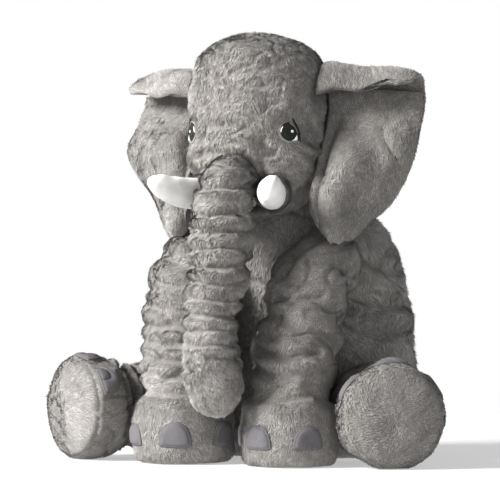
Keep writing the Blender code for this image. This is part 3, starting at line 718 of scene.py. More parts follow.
def make_foreleg(hand, mirror, seed):
    """The leg's tube runs up from its flat sole to the rounded shoulder inside the body's front."""
    leg, turns = sleeve(FORELEG_ROWS[hand], 170, 180)
    smooth = leg
    leg = furrows(leg, turns, leg[..., 2], FORELEG_FOLDS[hand])
    rough = np.clip((leg[..., 2:3] - 0.085) / 0.02, 0, 1)
    leg = leg + outward(leg) * (0.0010 * ripple(leg, 0.045, seed + 7))[..., None]
    leg = leg * (1 - rough) + crumple(leg, 0.055, 0.0030, seed, (1.4, 1.4, 0.9)) * rough
    leg[..., 2] = np.maximum(leg[..., 2], 0.0008)
    body = "foreleg_" + hand
    skin = cover("foreleg_skin_" + hand, leg, "foreleg_cover_" + hand, "")
    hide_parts("forefoot_sole_" + hand)
    levels = np.maximum.accumulate(leg[..., 2].mean(1) + np.arange(len(leg)) * 1e-9)
    middle = mirror * FORE_HEADING
    places = (middle - FORE_NAIL_SPREAD, middle, middle + FORE_NAIL_SPREAD)
    bare = under_nails(turns, levels[:, None], places, FORE_NAIL_HEIGHT, 0.0675)
    fur = coat("foreleg_pile_" + hand, leg, seed + 1, "", bare=bare | (leg[..., 2] < 0.0010),
               gap=0.00180)
    for piece in (skin, fur):
        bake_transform(piece)
    wad("foreleg_stuffing_" + hand, smooth[16:-10], 0.019, seed + 3, body, "foreleg_fill_" + hand)
    names = ("inner", "middle", "outer") if mirror > 0 else ("outer", "middle", "inner")
    for place, name in zip(places, names):
        nail_patch(f"fore_nail_{name}_{hand}", leg, levels, place, FORE_NAIL_HEIGHT, 0.0675, nail_cloth,
                   f"forefoot_nail_{name}_{hand}", body)


for hand, mirror, seed in (("left", 1, 60), ("right", -1, 70)):
    make_foreleg(hand, mirror, seed)

# --- Neck and head ------------------------------------------------------------------------
# A hard-packed wad fills the neck. The head is a tall rounded sack with a flat crown, full brows and
# cheeks, and pinched folds over the forehead and the bridge; its pile runs down the face.

NECK = (0, 0.010, 0.360)


def neck_wad():
    """A ball of packed fibre of 43 mm, its surface lumpy by 1.5 mm."""
    up, turn = np.meshgrid(np.linspace(-88, 88, 40), np.linspace(0, 360, 60, endpoint=False), indexing="ij")
    up, turn = np.radians(up), np.radians(turn)
    ball = np.stack([np.cos(up) * np.sin(turn), -np.cos(up) * np.cos(turn), np.sin(up)], -1) * 0.043 + NECK
    piece = closed_skin("neck_stuffing", crumple(ball, 0.02, 0.0015, 80), stuffing_finish)
    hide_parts("neck_fill")
    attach(piece, "neck")


neck_wad()

HEAD_ROWS = (
    # height, centre y, half width, half depth
    (0.3320, -0.056, 0.002, 0.002), (0.3330, -0.056, 0.018, 0.018), (0.3380, -0.055, 0.040, 0.036),
    (0.3480, -0.052, 0.062, 0.053), (0.3620, -0.048, 0.077, 0.063), (0.3800, -0.045, 0.087, 0.071),
    (0.4000, -0.046, 0.0925, 0.0800), (0.4250, -0.049, 0.0955, 0.0875), (0.4550, -0.050, 0.0955, 0.0910),
    (0.4850, -0.050, 0.0950, 0.0915), (0.5100, -0.050, 0.0930, 0.0900), (0.5335, -0.051, 0.0890, 0.0870),
    (0.5498, -0.052, 0.0830, 0.0820), (0.5580, -0.052, 0.0770, 0.0765), (0.5640, -0.052, 0.0690, 0.0690),
    (0.5710, -0.052, 0.0570, 0.0570), (0.5775, -0.052, 0.0400, 0.0400), (0.5830, -0.052, 0.0200, 0.0200),
    (0.5845, -0.052, 0.0015, 0.0015),
)
HEAD_FOLDS = (
    (((-52, 0.543), (-25, 0.533), (0, 0.529), (25, 0.534), (52, 0.545)), 0.0071, 0.0020),
    (((-33, 0.440), (-20, 0.455), (0, 0.459), (10, 0.455), (33, 0.440)), 0.0071, 0.0042),
    (((-36, 0.418), (-12, 0.421), (10, 0.417), (24, 0.404), (29, 0.380)), 0.0065, 0.0047),
    (((64, 0.440), (80, 0.434), (98, 0.430)), 0.0057, 0.0033),
    (((62, 0.420), (80, 0.410), (96, 0.404)), 0.0057, 0.0032),
    (((58, 0.398), (76, 0.384), (92, 0.378)), 0.0065, 0.0032),
    (((-64, 0.440), (-80, 0.434), (-98, 0.430)), 0.0057, 0.0033),
    (((-62, 0.420), (-80, 0.410), (-96, 0.404)), 0.0057, 0.0032),
    (((30, 0.486), (50, 0.494), (70, 0.484)), 0.0071, 0.0021),
    (((-30, 0.486), (-50, 0.494), (-70, 0.484)), 0.0071, 0.0021),
    (((180, 0.380), (180, 0.580)), 0.0050, 0.0023),
)


def face(bearing, height, out=0.0):
    """A point on the smooth head at a bearing in degrees and a height, moved out by a distance."""
    table = np.asarray(HEAD_ROWS)
    y, a, b = (np.interp(height, table[:, 0], table[:, k]) for k in (1, 2, 3))
    turn = math.radians(bearing)
    return np.array([(a + out) * math.sin(turn), y - (b + out) * math.cos(turn), height])


head, head_bearing = upright(HEAD_ROWS, 170, 210)
for mirror in (1, -1):
    head = bulge(head, face(mirror * 46, 0.486), 0.020, 0.0060)
    head = bulge(head, face(mirror * 52, 0.405), 0.030, 0.0075)
    head = bulge(head, face(mirror * 34, 0.376), 0.024, 0.0070)
    head = bulge(head, face(mirror * 30, 0.436), 0.016, -0.0050)
    head = bulge(head, face(mirror * 70, 0.462), 0.018, -0.0030)
head = bulge(head, face(0, 0.500), 0.030, 0.0030)
head = bulge(head, face(0, 0.415), 0.034, 0.0100)
head = bulge(head, face(0, 0.560), 0.035, 0.0030)
head_smooth = head
head = furrows(head, head_bearing, head[..., 2], HEAD_FOLDS)
near_eye = np.zeros(head.shape[:2])
for mirror in (1, -1):
    near_eye += np.exp(-(np.linalg.norm(head - face(mirror * 49, 0.449), axis=-1) / 0.020) ** 4)
away_from_eyes = (1 - np.clip(near_eye, 0, 1))[..., None]
head = head + (crumple(head, 0.034, 0.0016, 90, (1.3, 1.3, 0.9)) - head) * away_from_eyes
cover("head_skin", head, "head_cover", "head")

# --- Eyes ---------------------------------------------------------------------------------
# The eyes are satin-stitched: a pale teardrop with its point at the outer corner, a dark grey-green
# iris, a dark lid line over the top, and two small white stitches for glints.

EYE_BEARING, EYE_HEIGHT, EYE_RADIUS = 49, 0.4490, 0.0955


def stitch_finish(name, dark, light, gloss):
    """Satin stitch: fine parallel threads along one slanting direction, in colour and bump."""
    finish = bpy.data.materials.new(name)
    finish.use_nodes = True
    tree = finish.node_tree
    shader = tree.nodes["Principled BSDF"]
    shader.inputs["Roughness"].default_value = gloss
    shader.inputs["Specular IOR Level"].default_value = 0.2
    where = wire(tree, "ShaderNodeTexCoord", (-900, 0))
    turned = wire(tree, "ShaderNodeMapping", (-800, 0))
    turned.inputs["Rotation"].default_value = (0.4, 0.7, 0.3)
    threads = wire(tree, "ShaderNodeTexWave", (-600, 0), Scale=520.0, Distortion=1.5, Detail=2.0)
    threads.inputs["Detail Scale"].default_value = 2.0
    tree.links.new(where.outputs["Object"], turned.inputs["Vector"])
    tree.links.new(turned.outputs["Vector"], threads.inputs["Vector"])
    ramp = wire(tree, "ShaderNodeValToRGB", (-300, 0))
    ramp.color_ramp.elements[0].color = (*dark, 1)
    ramp.color_ramp.elements[1].color = (*light, 1)
    tree.links.new(threads.outputs["Fac"], ramp.inputs["Fac"])
    tree.links.new(ramp.outputs["Color"], shader.inputs["Base Color"])
    bump = wire(tree, "ShaderNodeBump", (-300, -250), Strength=0.3, Distance=0.0002)
    tree.links.new(threads.outputs["Fac"], bump.inputs["Height"])
    tree.links.new(bump.outputs["Normal"], shader.inputs["Normal"])
    return finish


pale_thread = stitch_finish("pale_thread", (0.20, 0.195, 0.18), (0.34, 0.33, 0.31), 0.7)
white_thread = stitch_finish("white_thread", (0.72, 0.72, 0.72), (0.92, 0.92, 0.92), 0.5)
iris_thread = stitch_finish("iris_thread", (0.016, 0.019, 0.015), (0.042, 0.048, 0.040), 0.6)
lid_thread = stitch_finish("lid_thread", (0.016, 0.014, 0.013), (0.036, 0.033, 0.031), 0.6)


def stitched(name, hand, mirror, outline, lift, thread, node):
    """A stitched patch on the face: the closed smooth outline in millimetres (towards the outer corner,
    up) is filled by rows from its middle, domed by lift x (1 - s^4) over the head and closed below."""
    edge = spaced(np.array(outline + outline[:1], float) / 1000, 65, 2)[:-1]
    if (edge[:, 0] * np.roll(edge[:, 1], -1) - np.roll(edge[:, 0], -1) * edge[:, 1]).sum() * mirror < 0:
        edge = edge[::-1]
    middle = edge.mean(0)
    s = np.linspace(0.06, 1, 14)[:, None, None]
    flat = middle + s * (edge - middle)
    turn = EYE_BEARING + np.degrees(flat[..., 0] / EYE_RADIUS)
    rise = 0.0010 + lift * (1 - s[..., 0] ** 4) + 0 * turn
    levels = head.mean(1)[:, 2]
    face_side = lie_on(head, levels, mirror * turn, EYE_HEIGHT + flat[..., 1], rise)
    under = lie_on(head, levels, mirror * turn, EYE_HEIGHT + flat[..., 1], -0.0008 + 0 * turn)
    piece = closed_skin(f"{name}_{hand}", np.concatenate([under, face_side[::-1]]), thread)
    if node:
        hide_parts(node)
    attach(piece, "head")


EYE_GROUND = [(-15.2, 3.0), (-12.6, 9.2), (-7.8, 13.0), (-1.8, 14.9), (3.6, 13.8), (8.5, 8.4), (12.4, 2.2),
              (15.8, -4.5),
              (16.6, -10.0), (16.6, -15.2), (11.5, -15.2), (6.0, -15.0), (0.0, -15.6), (-6.2, -14.4),
              (-11.8, -9.8), (-15.0, -3.8)]
EYE_LINE = [(-14.4, 3.0), (-12.0, 8.9), (-7.4, 12.5), (-1.8, 14.3), (3.4, 13.1), (8.1, 7.9), (11.6, 1.9),
            (14.2, -4.5),
            (14.4, -9.0), (14.2, -13.6), (11.2, -13.3), (5.9, -13.2), (0.0, -13.8), (-5.8, -12.7),
            (-11.0, -8.5), (-14.0, -3.2)]
IRIS = [(10.6 * math.cos(a) - 0.9, 11.6 * math.sin(a) + 0.0) for a in np.linspace(0, 2 * math.pi, 15)[:-1]]
GLINT = [(2.6 * math.cos(a) + 3.3, 2.6 * math.sin(a) + 0.7) for a in np.linspace(0, 2 * math.pi, 10)[:-1]]
PALE_CURVE = [(-1.8, 13.2), (3.5, 12.2), (7.7, 7.4), (10.6, 2.6), (12.0, -3.4), (11.3, -3.6), (9.6, 2.0),
              (6.6, 6.5),
              (2.8, 10.9), (-1.4, 12.4)]
WHITE_CORNER = [(10.4, -3.0), (11.0, -8.0), (10.4, -11.4), (5.9, -12.0), (1.8, -12.0), (5.6, -9.4),
                (8.6, -6.2)]
WHITE_SLIVER = [(-8.9, 8.6), (-11.6, 5.8), (-13.1, 2.0), (-12.6, -1.2), (-11.4, 2.0), (-10.4, 5.2)]
LID_LINE = [(4.0, 17.8), (5.9, 17.4), (9.5, 12.3), (12.9, 6.4), (15.2, -1.2), (15.4, -13.8), (13.6, -13.6),
            (13.4, -3.4),
            (11.4, 5.3), (7.7, 11.2), (4.4, 16.1)]
EYE_LAYERS = (
    # name, outline, thickness in metres, thread, slot, node it stands for
    ("eye_ground", EYE_GROUND, 0.0004, pale_thread, "eye_thread_light", "eye_patch_"),
    ("eye_line", EYE_LINE, 0.0007, lid_thread, "eye_thread_dark", None),
    ("eye_iris", IRIS, 0.0013, iris_thread, "eye_thread_dark", "eye_iris_"),
    ("eye_pale_curve", PALE_CURVE, 0.0013, pale_thread, "eye_thread_light", None),
    ("eye_white_corner", WHITE_CORNER, 0.0016, white_thread, "eye_thread_light", None),
    ("eye_white_sliver", WHITE_SLIVER, 0.0015, white_thread, "eye_thread_light", None),
    ("eye_lid_line", LID_LINE, 0.0014, lid_thread, "eye_thread_dark", None),
    ("eye_glint", GLINT, 0.0022, white_thread, "eye_thread_light", None),
)
for hand, mirror in (("left", 1), ("right", -1)):
    for name, outline, lift, thread, slot_name, node in EYE_LAYERS:
        stitched(name, hand, mirror, outline, lift, thread, node + hand if node else None)

eyes_bare = np.zeros(head.shape[:2], bool)
for mirror in (1, -1):
    a = np.radians((head_bearing - mirror * EYE_BEARING + 180) % 360 - 180) * EYE_RADIUS * mirror
    b = head[..., 2] - EYE_HEIGHT
    eyes_bare |= ((a - 0.0005) / 0.0155) ** 2 + ((b + 0.0005) / 0.0158) ** 2 < 1
eyes_near = np.zeros(head.shape[:2], bool)
for mirror in (1, -1):
    eyes_near |= np.linalg.norm(head - face(mirror * EYE_BEARING, EYE_HEIGHT), axis=-1) < 0.024
under_trunk = np.linalg.norm(head - np.array([0, -0.125, 0.390]), axis=-1) < 0.030
coat("head_pile", head, 92, "head", bare=eyes_bare | eyes_near | under_trunk, gap=0.00172, length=0.0062)
coat("eye_surround_pile", head, 93, "head", bare=eyes_bare | ~eyes_near, gap=0.00150, length=0.0050, lean=1.1)
wad("head_stuffing", head_smooth[10:-8], 0.012, 94, "head", "head_fill")

# --- Lower lip ----------------------------------------------------------------------------
# A small padded flap under the trunk's root makes the mouth; its pile is shorter.

LIP_CENTRE, LIP_SIZE = (0, -0.092, 0.3420), (0.036, 0.024, 0.0130)


def lower_lip():
    """An ellipsoid whose front edge turns down a little: its height falls by 4 mm x (depth in front)^2."""
    up, turn = np.meshgrid(np.radians(np.linspace(-86, 86, 40)), np.linspace(0, 2 * np.pi, 72, endpoint=False),
                           indexing="ij")
    ball = np.stack([np.cos(up) * np.sin(turn), -np.cos(up) * np.cos(turn), np.sin(up)], -1)
    lip = ball * LIP_SIZE + LIP_CENTRE
    lip[..., 2] -= 0.006 * np.clip(-ball[..., 1], 0, 1) ** 2
    return crumple(lip, 0.02, 0.0008, 100)


lip = lower_lip()
cover("lower_lip_skin", lip, "lower_lip", "head")
coat("lower_lip_pile", lip, 101, "head", length=0.0065)

# --- Tusks --------------------------------------------------------------------------------
# Two stuffed cones of smooth off-white brushed cloth stand out beside the trunk and curve up. A seam
# runs along each, and a collar of grey pile hides where it is sewn in.

TUSK_ROWS = (
    # x, y, z, radius
    (0.048, -0.100, 0.367, 0.0150), (0.052, -0.116, 0.366, 0.0188), (0.059, -0.138, 0.366, 0.0190),
    (0.068, -0.160, 0.368, 0.0180), (0.077, -0.179, 0.373, 0.0158), (0.084, -0.192, 0.378, 0.0128),
    (0.0885, -0.200, 0.3815, 0.0092), (0.0910, -0.2045, 0.3835, 0.0045), (0.0915, -0.2055, 0.3840, 0.0015),
)


def tusk_finish():
    """Off-white brushed cloth: a soft short nap from fine noise, slightly yellower in patches."""
    finish = bpy.data.materials.new("tusk_brushed_cloth")
    finish.use_nodes = True
    tree = finish.node_tree
    shader = tree.nodes["Principled BSDF"]
    shader.inputs["Roughness"].default_value = 0.9
    shader.inputs["Sheen Weight"].default_value = 0.2
    where = wire(tree, "ShaderNodeTexCoord", (-900, 0))
    nap = wire(tree, "ShaderNodeTexNoise", (-700, 0), Scale=600.0, Detail=3.0)
    soft = wire(tree, "ShaderNodeTexNoise", (-700, -250), Scale=70.0, Detail=2.0)
    tree.links.new(where.outputs["Object"], nap.inputs["Vector"])
    tree.links.new(where.outputs["Object"], soft.inputs["Vector"])
    both = wire(tree, "ShaderNodeMath", (-500, 0))
    both.operation = "ADD"
    tree.links.new(nap.outputs["Fac"], both.inputs[0])
    tree.links.new(soft.outputs["Fac"], both.inputs[1])
    ramp = wire(tree, "ShaderNodeValToRGB", (-300, 0))
    ramp.color_ramp.elements[0].position = 0.6
    ramp.color_ramp.elements[0].color = (0.70, 0.69, 0.675, 1)
    ramp.color_ramp.elements[1].position = 1.0
    ramp.color_ramp.elements[1].color = (0.84, 0.835, 0.82, 1)
    tree.links.new(both.outputs[0], ramp.inputs["Fac"])
    tree.links.new(ramp.outputs["Color"], shader.inputs["Base Color"])
    bump = wire(tree, "ShaderNodeBump", (-300, -250), Strength=0.35, Distance=0.0006)
    tree.links.new(both.outputs[0], bump.inputs["Height"])
    tree.links.new(bump.outputs["Normal"], shader.inputs["Normal"])
    return finish


tusk_cloth = tusk_finish()
for hand, mirror in (("left", 1), ("right", -1)):
    rows = [(mirror * x, y, z, r) for x, y, z, r in TUSK_ROWS]
    tusk, tusk_turn = sleeve(rows, 80, 84, flat=1.12)
    tusk = tusk - outward(tusk) * (0.0006 * np.exp(-((tusk_turn - 180) / 4) ** 2) + 0 * tusk[..., 0])[..., None]
    tusk = tusk + outward(tusk) * (0.0005 * ripple(tusk, 0.022, 110 + mirror))[..., None]
    skin = closed_skin("tusk_" + hand, tusk, tusk_cloth)
    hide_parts("tusk_cover_" + hand)
    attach(skin, "head")
    wad("tusk_stuffing_" + hand, tusk[8:-8], 0.004, 112, "head", "tusk_fill_" + hand)
    collar_rows = [(mirror * x, y, z, r) for x, y, z, r in (
        (0.049, -0.104, 0.367, 0.0150), (0.051, -0.110, 0.3668, 0.0205), (0.0535, -0.118, 0.3665, 0.0222),
        (0.0560, -0.125, 0.3662, 0.0218), (0.0575, -0.1295, 0.3660, 0.0196))]
    collar, _ = sleeve(collar_rows, 26, 60, flat=1.12)
    # The collar's backing is darkened as painted shade under its pile.
    skin = closed_skin("tusk_collar_" + hand, collar, backing_painted_shade_finish)
    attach(skin, "head")
    coat("tusk_collar_pile_" + hand, collar, 114 + mirror, "head", nap=0.0, length=0.0070, gap=0.0016)

# --- Trunk --------------------------------------------------------------------------------
# The trunk is one long stuffed sleeve, pleated into fat rings, that hangs from between the tusks and
# ends in a round tip. Here it has three lengths, each tucked into the one above, so that it can curl.

TRUNK_ROWS = (
    # x, y, z, radius, tip to root
    (0.004, -0.180, 0.0785, 0.0015), (0.004, -0.182, 0.0795, 0.0130), (0.004, -0.186, 0.0840, 0.0260),
    (0.003, -0.193, 0.0960, 0.0355),
    (0.002, -0.199, 0.1150, 0.0380), (0.001, -0.203, 0.1400, 0.0365), (0.000, -0.204, 0.1700, 0.0345),
    (0.000, -0.199, 0.2050, 0.0345), (0.000, -0.190, 0.2350, 0.0360), (0.000, -0.179, 0.2650, 0.0395),
    (0.000, -0.171, 0.3000, 0.0415), (0.000, -0.167, 0.3300, 0.0410), (0.000, -0.165, 0.3550, 0.0390),
    (0.000, -0.158, 0.3720, 0.0370), (0.000, -0.142, 0.3830, 0.0350), (0.000, -0.112, 0.3850, 0.0320),
    (0.000, -0.088, 0.3850, 0.0240),
)
TRUNK_FOLDS = (
    (((-170, 0.3800), (-60, 0.3760), (0, 0.3740), (60, 0.3760), (170, 0.3800)), 0.0055, 0.0049),
    (((-170, 0.3450), (-60, 0.3400), (0, 0.3380), (60, 0.3420), (170, 0.3450)), 0.0055, 0.0049),
    (((-170, 0.3150), (-60, 0.3150), (0, 0.3140), (60, 0.3170), (170, 0.3160)), 0.0058, 0.0056),
    (((-100, 0.2920), (-40, 0.2900), (30, 0.2950), (90, 0.2930)), 0.0042, 0.0029),
    (((-170, 0.2700), (-60, 0.2700), (0, 0.2680), (60, 0.2720), (170, 0.2700)), 0.0058, 0.0051),
    (((-90, 0.2480), (-30, 0.2500), (40, 0.2460), (100, 0.2490)), 0.0046, 0.0035),
    (((-170, 0.2260), (-60, 0.2280), (0, 0.2260), (60, 0.2240), (170, 0.2260)), 0.0048, 0.0036),
    (((-170, 0.2060), (-60, 0.2080), (0, 0.2060), (60, 0.2030), (170, 0.2040)), 0.0058, 0.0056),
    (((-90, 0.1850), (-30, 0.1830), (40, 0.1870), (90, 0.1840)), 0.0042, 0.0027),
    (((-60, 0.1660), (0, 0.1640), (60, 0.1680), (120, 0.1660)), 0.0042, 0.0025),
    (((20, 0.1500), (70, 0.1480), (120, 0.1480)), 0.0055, 0.0046),
    (((-110, 0.1300), (-60, 0.1330), (-10, 0.1300)), 0.0048, 0.0025),
)
trunk, trunk_turn = sleeve(TRUNK_ROWS, 300, 130)
trunk_level = trunk[..., 2].mean(1)
hanging = np.clip((0.392 - trunk[..., 2]) / 0.01, 0, 1)[..., None]
trunk_folded = furrows(trunk, trunk_turn, trunk[..., 2], TRUNK_FOLDS)
trunk = trunk * (1 - hanging) + trunk_folded * hanging
trunk = trunk + outward(trunk) * (0.0010 * ripple(trunk, 0.040, 127))[..., None]
trunk = crumple(trunk, 0.032, 0.0010, 120, (1.6, 1.6, 0.8))


def trunk_length(name, low, high, body, seed, nodes, tuck):
    """One length of the trunk: its rings between two heights. Where a tuck is asked for, its upper
    end draws in by 5 mm x (how far into the length above), so that it sits inside that one."""
    rows = (trunk_level > low) & (trunk_level < high)
    if high > 0.39:
        rows |= np.arange(len(trunk_level)) > np.argmax(trunk_level > 0.36)
    part = trunk[rows].copy()
    level = part[..., 2].mean(1)
    middle = part.mean(1, keepdims=True)
    if tuck:
        inside = np.clip((level - tuck) / max(high - tuck, 1e-6), 0, 1)[:, None, None]
        part = middle + (part - middle) * (1 - 0.16 * np.clip(inside * 6, 0, 1) - 0.30 * inside ** 2)
    if low > 0:
        lip_in = np.clip((low + 0.0045 - level) / 0.0045, 0, 1)[:, None, None]
        part = middle + (part - middle) * (1 - 0.10 * lip_in ** 2)
    skin = cover(name + "_skin", part, nodes[0], "")
    hidden = np.broadcast_to((level[:, None] > tuck + 0.004) if tuck else False, part.shape[:2])
    fur = coat(name + "_pile", part, seed, "", bare=hidden, gap=0.00172, length=0.0064)
    for piece in (skin, fur):
        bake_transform(piece)
    wad(name + "_stuffing", part[6:-6], 0.010, seed + 2, body, nodes[1])


trunk_length("trunk_top", 0.3135, 9.0, "trunk_base", 121,
             ("trunk_base_cover", "trunk_base_fill"), 0)
trunk_length("trunk_middle", 0.2050, 0.3420, "trunk_mid", 123,
             ("trunk_mid_cover", "trunk_mid_fill"), 0.3150)
trunk_length("trunk_end", -1.0, 0.2360, "trunk_tip", 125,
             ("trunk_tip_cover", "trunk_tip_fill"), 0.2060)

# --- Ears ---------------------------------------------------------------------------------
# Each ear is two panels of pile fabric sewn together with a little stuffing, set into the side of the
# head. Its top folds forward into a flap, and the rest hangs in soft vertical rolls down to a lobe.

EAR_ROWS = {
    "left": (
        # inner height, x and y, outer x and y, and the outer edge's drop, from the flap's edge to the lobe
        (0.4990, 0.0930, -0.0700, 0.1900, -0.0280, -0.0120),
        (0.5070, 0.0930, -0.0690, 0.2030, -0.0200, -0.0030),
        (0.5220, 0.0930, -0.0600, 0.2100, -0.0060, 0.0060),
        (0.5330, 0.0920, -0.0460, 0.2110, 0.0080, 0.0120),
        (0.5330, 0.0920, -0.0340, 0.2120, 0.0180, 0.0140),
        (0.5220, 0.0920, -0.0280, 0.2140, 0.0220, 0.0100),
        (0.4900, 0.0940, -0.0280, 0.2165, 0.0180, 0.0000),
        (0.4550, 0.0940, -0.0380, 0.2155, 0.0060, 0.0000),
        (0.4250, 0.0930, -0.0540, 0.2110, -0.0030, 0.0000),
        (0.3950, 0.0930, -0.0730, 0.2030, -0.0070, 0.0000),
        (0.3700, 0.0940, -0.0890, 0.1920, -0.0120, 0.0000),
        (0.3480, 0.0980, -0.0970, 0.1780, -0.0220, 0.0000),
        (0.3270, 0.1070, -0.0970, 0.1610, -0.0400, 0.0000),
        (0.3110, 0.1190, -0.0910, 0.1470, -0.0600, 0.0000),
        (0.3030, 0.1270, -0.0840, 0.1380, -0.0720, 0.0000),
    ),
    "right": (
        (0.4960, 0.0940, -0.0700, 0.2000, -0.0360, -0.0040),
        (0.5060, 0.0940, -0.0700, 0.2070, -0.0280, 0.0000),
        (0.5190, 0.0940, -0.0610, 0.2080, -0.0140, 0.0060),
        (0.5260, 0.0930, -0.0460, 0.2040, 0.0020, 0.0110),
        (0.5260, 0.0930, -0.0340, 0.2030, 0.0120, 0.0120),
        (0.5120, 0.0930, -0.0280, 0.2020, 0.0160, 0.0060),
        (0.4850, 0.0940, -0.0280, 0.1980, 0.0100, 0.0000),
        (0.4550, 0.0940, -0.0380, 0.2060, -0.0020, 0.0000),
        (0.4250, 0.0930, -0.0500, 0.2145, -0.0100, 0.0000),
        (0.3950, 0.0910, -0.0660, 0.2030, -0.0080, 0.0000),
        (0.3700, 0.0890, -0.0790, 0.1850, -0.0080, 0.0000),
        (0.3480, 0.0880, -0.0840, 0.1670, -0.0140, 0.0000),
        (0.3280, 0.0910, -0.0820, 0.1500, -0.0300, 0.0000),
        (0.3120, 0.0980, -0.0750, 0.1380, -0.0440, 0.0000),
        (0.3030, 0.1060, -0.0680, 0.1290, -0.0540, 0.0000),
    ),
}


def ear_sheet(hand, mirror, rows=150, columns=80):
    """The ear's middle surface: a straight line from the inner to the outer edge at each row, pushed
    forward by 10 mm x 4u(1 - u) and by two vertical rolls, and creased below the flap."""
    table = spaced(EAR_ROWS[hand], rows, 5)
    v = np.linspace(0, 1, rows)[:, None]
    u = np.linspace(0, 1, columns)[None, :]
    ease = u ** 0.9
    sheet = np.stack([table[:, 1:2] + (table[:, 3:4] - table[:, 1:2]) * ease,
                      table[:, 2:3] + (table[:, 4:5] - table[:, 2:3]) * ease,
                      table[:, :1] - table[:, 5:6] * ease], -1)
    hang = np.clip((v - 0.36) / 0.12, 0, 1) * np.clip((1.0 - v) / 0.10, 0, 1)
    roll = (0.009 * np.exp(-((u - 0.32 - 0.10 * (v - 0.6)) / 0.20) ** 2)
            - 0.002 * np.exp(-((u - 0.60 - 0.05 * (v - 0.6)) / 0.12) ** 2)
            + 0.003 * np.exp(-((u - 0.80) / 0.14) ** 2)
            - 0.010 * np.exp(-((u - 0.10) / 0.07) ** 2))
    crease = -0.006 * np.exp(-((u - 0.55 - 1.9 * (v - 0.42)) / 0.05) ** 2) * np.exp(-((v - 0.50) / 0.08) ** 2)
    sag = 0.004 * np.sin(np.pi * u) * np.exp(-((v - 0.2) / 0.12) ** 2)
    sheet[..., 1] -= hang * (roll + crease) + 0.010 * 4 * u * (1 - u) * hang
    sheet[..., 2] += sag + 0.0035 * np.sin(3 * np.pi * u) * np.exp(-(v / 0.10) ** 2)
    sheet[..., 0] *= mirror
    if mirror < 0:
        sheet = sheet[:, ::-1]
    return sheet


def ear_panel(sheet, near, far, rim):
    """A panel between two distances in front of the sheet: its thickness closes to nothing at the rim
    as (1 - |edge|^p), and the ring runs along its front and back again along its rear."""
    columns = sheet.shape[1]
    normals = outward(sheet, closed=False)
    u = np.linspace(-1, 1, columns)[None, :, None]
    v = np.linspace(-1, 1, len(sheet))[:, None, None]
    full = ((1 - np.abs(u) ** rim) * (1 - np.abs(v) ** (2 * rim))) ** 0.5
    middle = (near + far) / 2
    front = sheet + normals * (middle + (far - middle) * full)
    rear = sheet + normals * (middle + (near - middle) * full)
    return np.concatenate([front, rear[:, 1:-1][:, ::-1]], 1)


for hand, mirror, seed in (("left", 1, 140), ("right", -1, 160)):
    sheet = ear_sheet(hand, mirror)
    lumps = 0.0022 * ripple(sheet, 0.080, seed + 9)
    sheet = sheet + outward(sheet, closed=False) * lumps[..., None]
    flip = np.sign((outward(sheet, closed=False)[100, 40] @ np.array([0, -1.0, 0])))
    sheet = sheet[:, ::int(flip)]
    outer_panel = ear_panel(sheet, -0.0085, -0.0005, 6)
    inner_panel = ear_panel(sheet[42:], 0.0008, 0.0085, 3)
    columns = sheet.shape[1]
    around = np.arange(outer_panel.shape[1])[None, :]
    facing = np.broadcast_to(around < columns, outer_panel.shape[:2])
    bare_front = facing & (np.arange(len(outer_panel))[:, None] > 54) & (around > 3) & (around < columns - 4)
    cover("ear_outer_skin_" + hand, outer_panel, "ear_back_" + hand, "")
    cover("ear_inner_skin_" + hand, inner_panel, "ear_front_" + hand, "")
    coat("ear_outer_pile_" + hand, outer_panel, seed + 2, "", bare=bare_front, nap=0.0, gap=0.00185)
    hidden = np.broadcast_to(np.arange(inner_panel.shape[1])[None, :] > columns + 2, inner_panel.shape[:2])
    coat("ear_inner_pile_" + hand, inner_panel, seed + 4, "", bare=hidden, nap=0.0, gap=0.00175)
    for name in ("ear_outer_skin_", "ear_inner_skin_", "ear_outer_pile_", "ear_inner_pile_"):
        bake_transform(bpy.data.objects[name + hand])

# --- Floor, light and camera --------------------------------------------------------------
# A plain pale floor, a big soft lamp high at the toy's right front, a weak one at its left, and a
# surround that is white in a band at the horizon and dimmer above and below it.


def plain_floor():
    """A flat square of pale matt board, 2.2 m across, under the toy."""
    mesh = bpy.data.meshes.new("floor")
    mesh.from_pydata([(-1.1, -1.1, 0), (1.1, -1.1, 0), (1.1, 1.1, 0), (-1.1, 1.1, 0)], [], [(0, 1, 2, 3)])
    board = bpy.data.materials.new("floor_board")
    board.use_nodes = True
    board.node_tree.nodes["Principled BSDF"].inputs["Base Color"].default_value = (0.52, 0.52, 0.52, 1)
    board.node_tree.nodes["Principled BSDF"].inputs["Roughness"].default_value = 1.0
    board.node_tree.nodes["Principled BSDF"].inputs["Specular IOR Level"].default_value = 0.0
    board.node_tree.nodes["Principled BSDF"].inputs["Emission Color"].default_value = (1, 1, 1, 1)
    board.node_tree.nodes["Principled BSDF"].inputs["Emission Strength"].default_value = 0.48
    mesh.materials.append(board)
    floor = bpy.data.objects.new("floor", mesh)
    bpy.context.scene.collection.objects.link(floor)


def soft_lamp(name, place, aim, size, power):
    """A square area lamp at a place, turned to shine at a point."""
    lamp = bpy.data.lights.new(name, "AREA")
    lamp.size, lamp.energy = size, power
    holder = bpy.data.objects.new(name, lamp)
    holder.location = place
    way = np.array(aim, float) - np.array(place, float)
    holder.rotation_euler = (math.acos(-way[2] / np.linalg.norm(way)), 0, math.atan2(-way[0], way[1]))
    bpy.context.scene.collection.objects.link(holder)


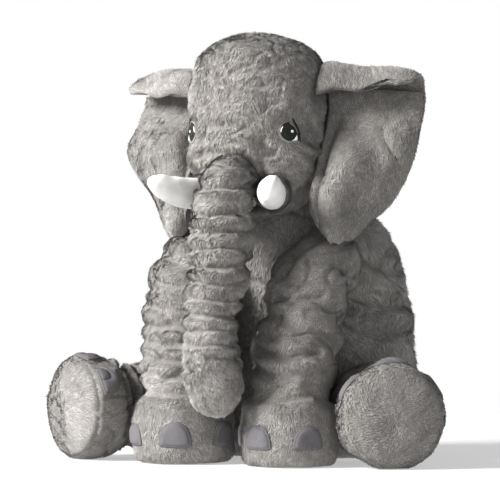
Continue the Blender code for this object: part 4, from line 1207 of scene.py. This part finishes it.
def look_from(azimuth, elevation, distance, target, focal):
    """The camera stands at target + distance x (sin az cos el, -cos az cos el, sin el), level and
    looking at the target."""
    a, e = math.radians(azimuth), math.radians(elevation)
    lens = bpy.data.cameras.new("camera")
    lens.lens, lens.sensor_width = focal, 36.0
    camera = bpy.data.objects.new("camera", lens)
    way = np.array([math.sin(a) * math.cos(e), -math.cos(a) * math.cos(e), math.sin(e)])
    camera.location = np.array(target) + distance * way
    camera.rotation_euler = (math.pi / 2 - e, 0, a)
    bpy.context.scene.collection.objects.link(camera)
    bpy.context.scene.camera = camera


plain_floor()
soft_lamp("key_lamp", (-2.6, -2.9, 2.5), (0, 0, 0.28), 1.7, 460)
soft_lamp("fill_lamp", (2.6, -1.6, 1.2), (0, 0, 0.28), 2.0, 8)
surround = bpy.data.worlds.new("surround")
surround.use_nodes = True
sky = surround.node_tree
way = wire(sky, "ShaderNodeTexCoord", (-700, 0))
parts = wire(sky, "ShaderNodeSeparateXYZ", (-500, 0))
band = wire(sky, "ShaderNodeValToRGB", (-300, 0))
band.color_ramp.elements[0].position = 0.42
band.color_ramp.elements[0].color = (0.30, 0.30, 0.30, 1)
band.color_ramp.elements[1].position = 0.64
band.color_ramp.elements[1].color = (0.30, 0.30, 0.30, 1)
for place in (0.45, 0.54):
    band.color_ramp.elements.new(place).color = (1.0, 1.0, 1.0, 1)
shift = wire(sky, "ShaderNodeMath", (-400, -150))
shift.operation = "MULTIPLY_ADD"
shift.inputs[1].default_value, shift.inputs[2].default_value = 0.5, 0.5
sky.links.new(way.outputs["Generated"], parts.inputs["Vector"])
sky.links.new(parts.outputs["Z"], shift.inputs[0])
sky.links.new(shift.outputs[0], band.inputs["Fac"])
sky.links.new(band.outputs["Color"], sky.nodes["Background"].inputs["Color"])
sky.nodes["Background"].inputs["Strength"].default_value = 1.0
bpy.context.scene.world = surround
bpy.context.scene.view_settings.view_transform = "Standard"
bpy.context.scene.view_settings.gamma = 0.84
look_from(25, 1.2, 6.0, (0, -0.08, 0.2886), 317.5)
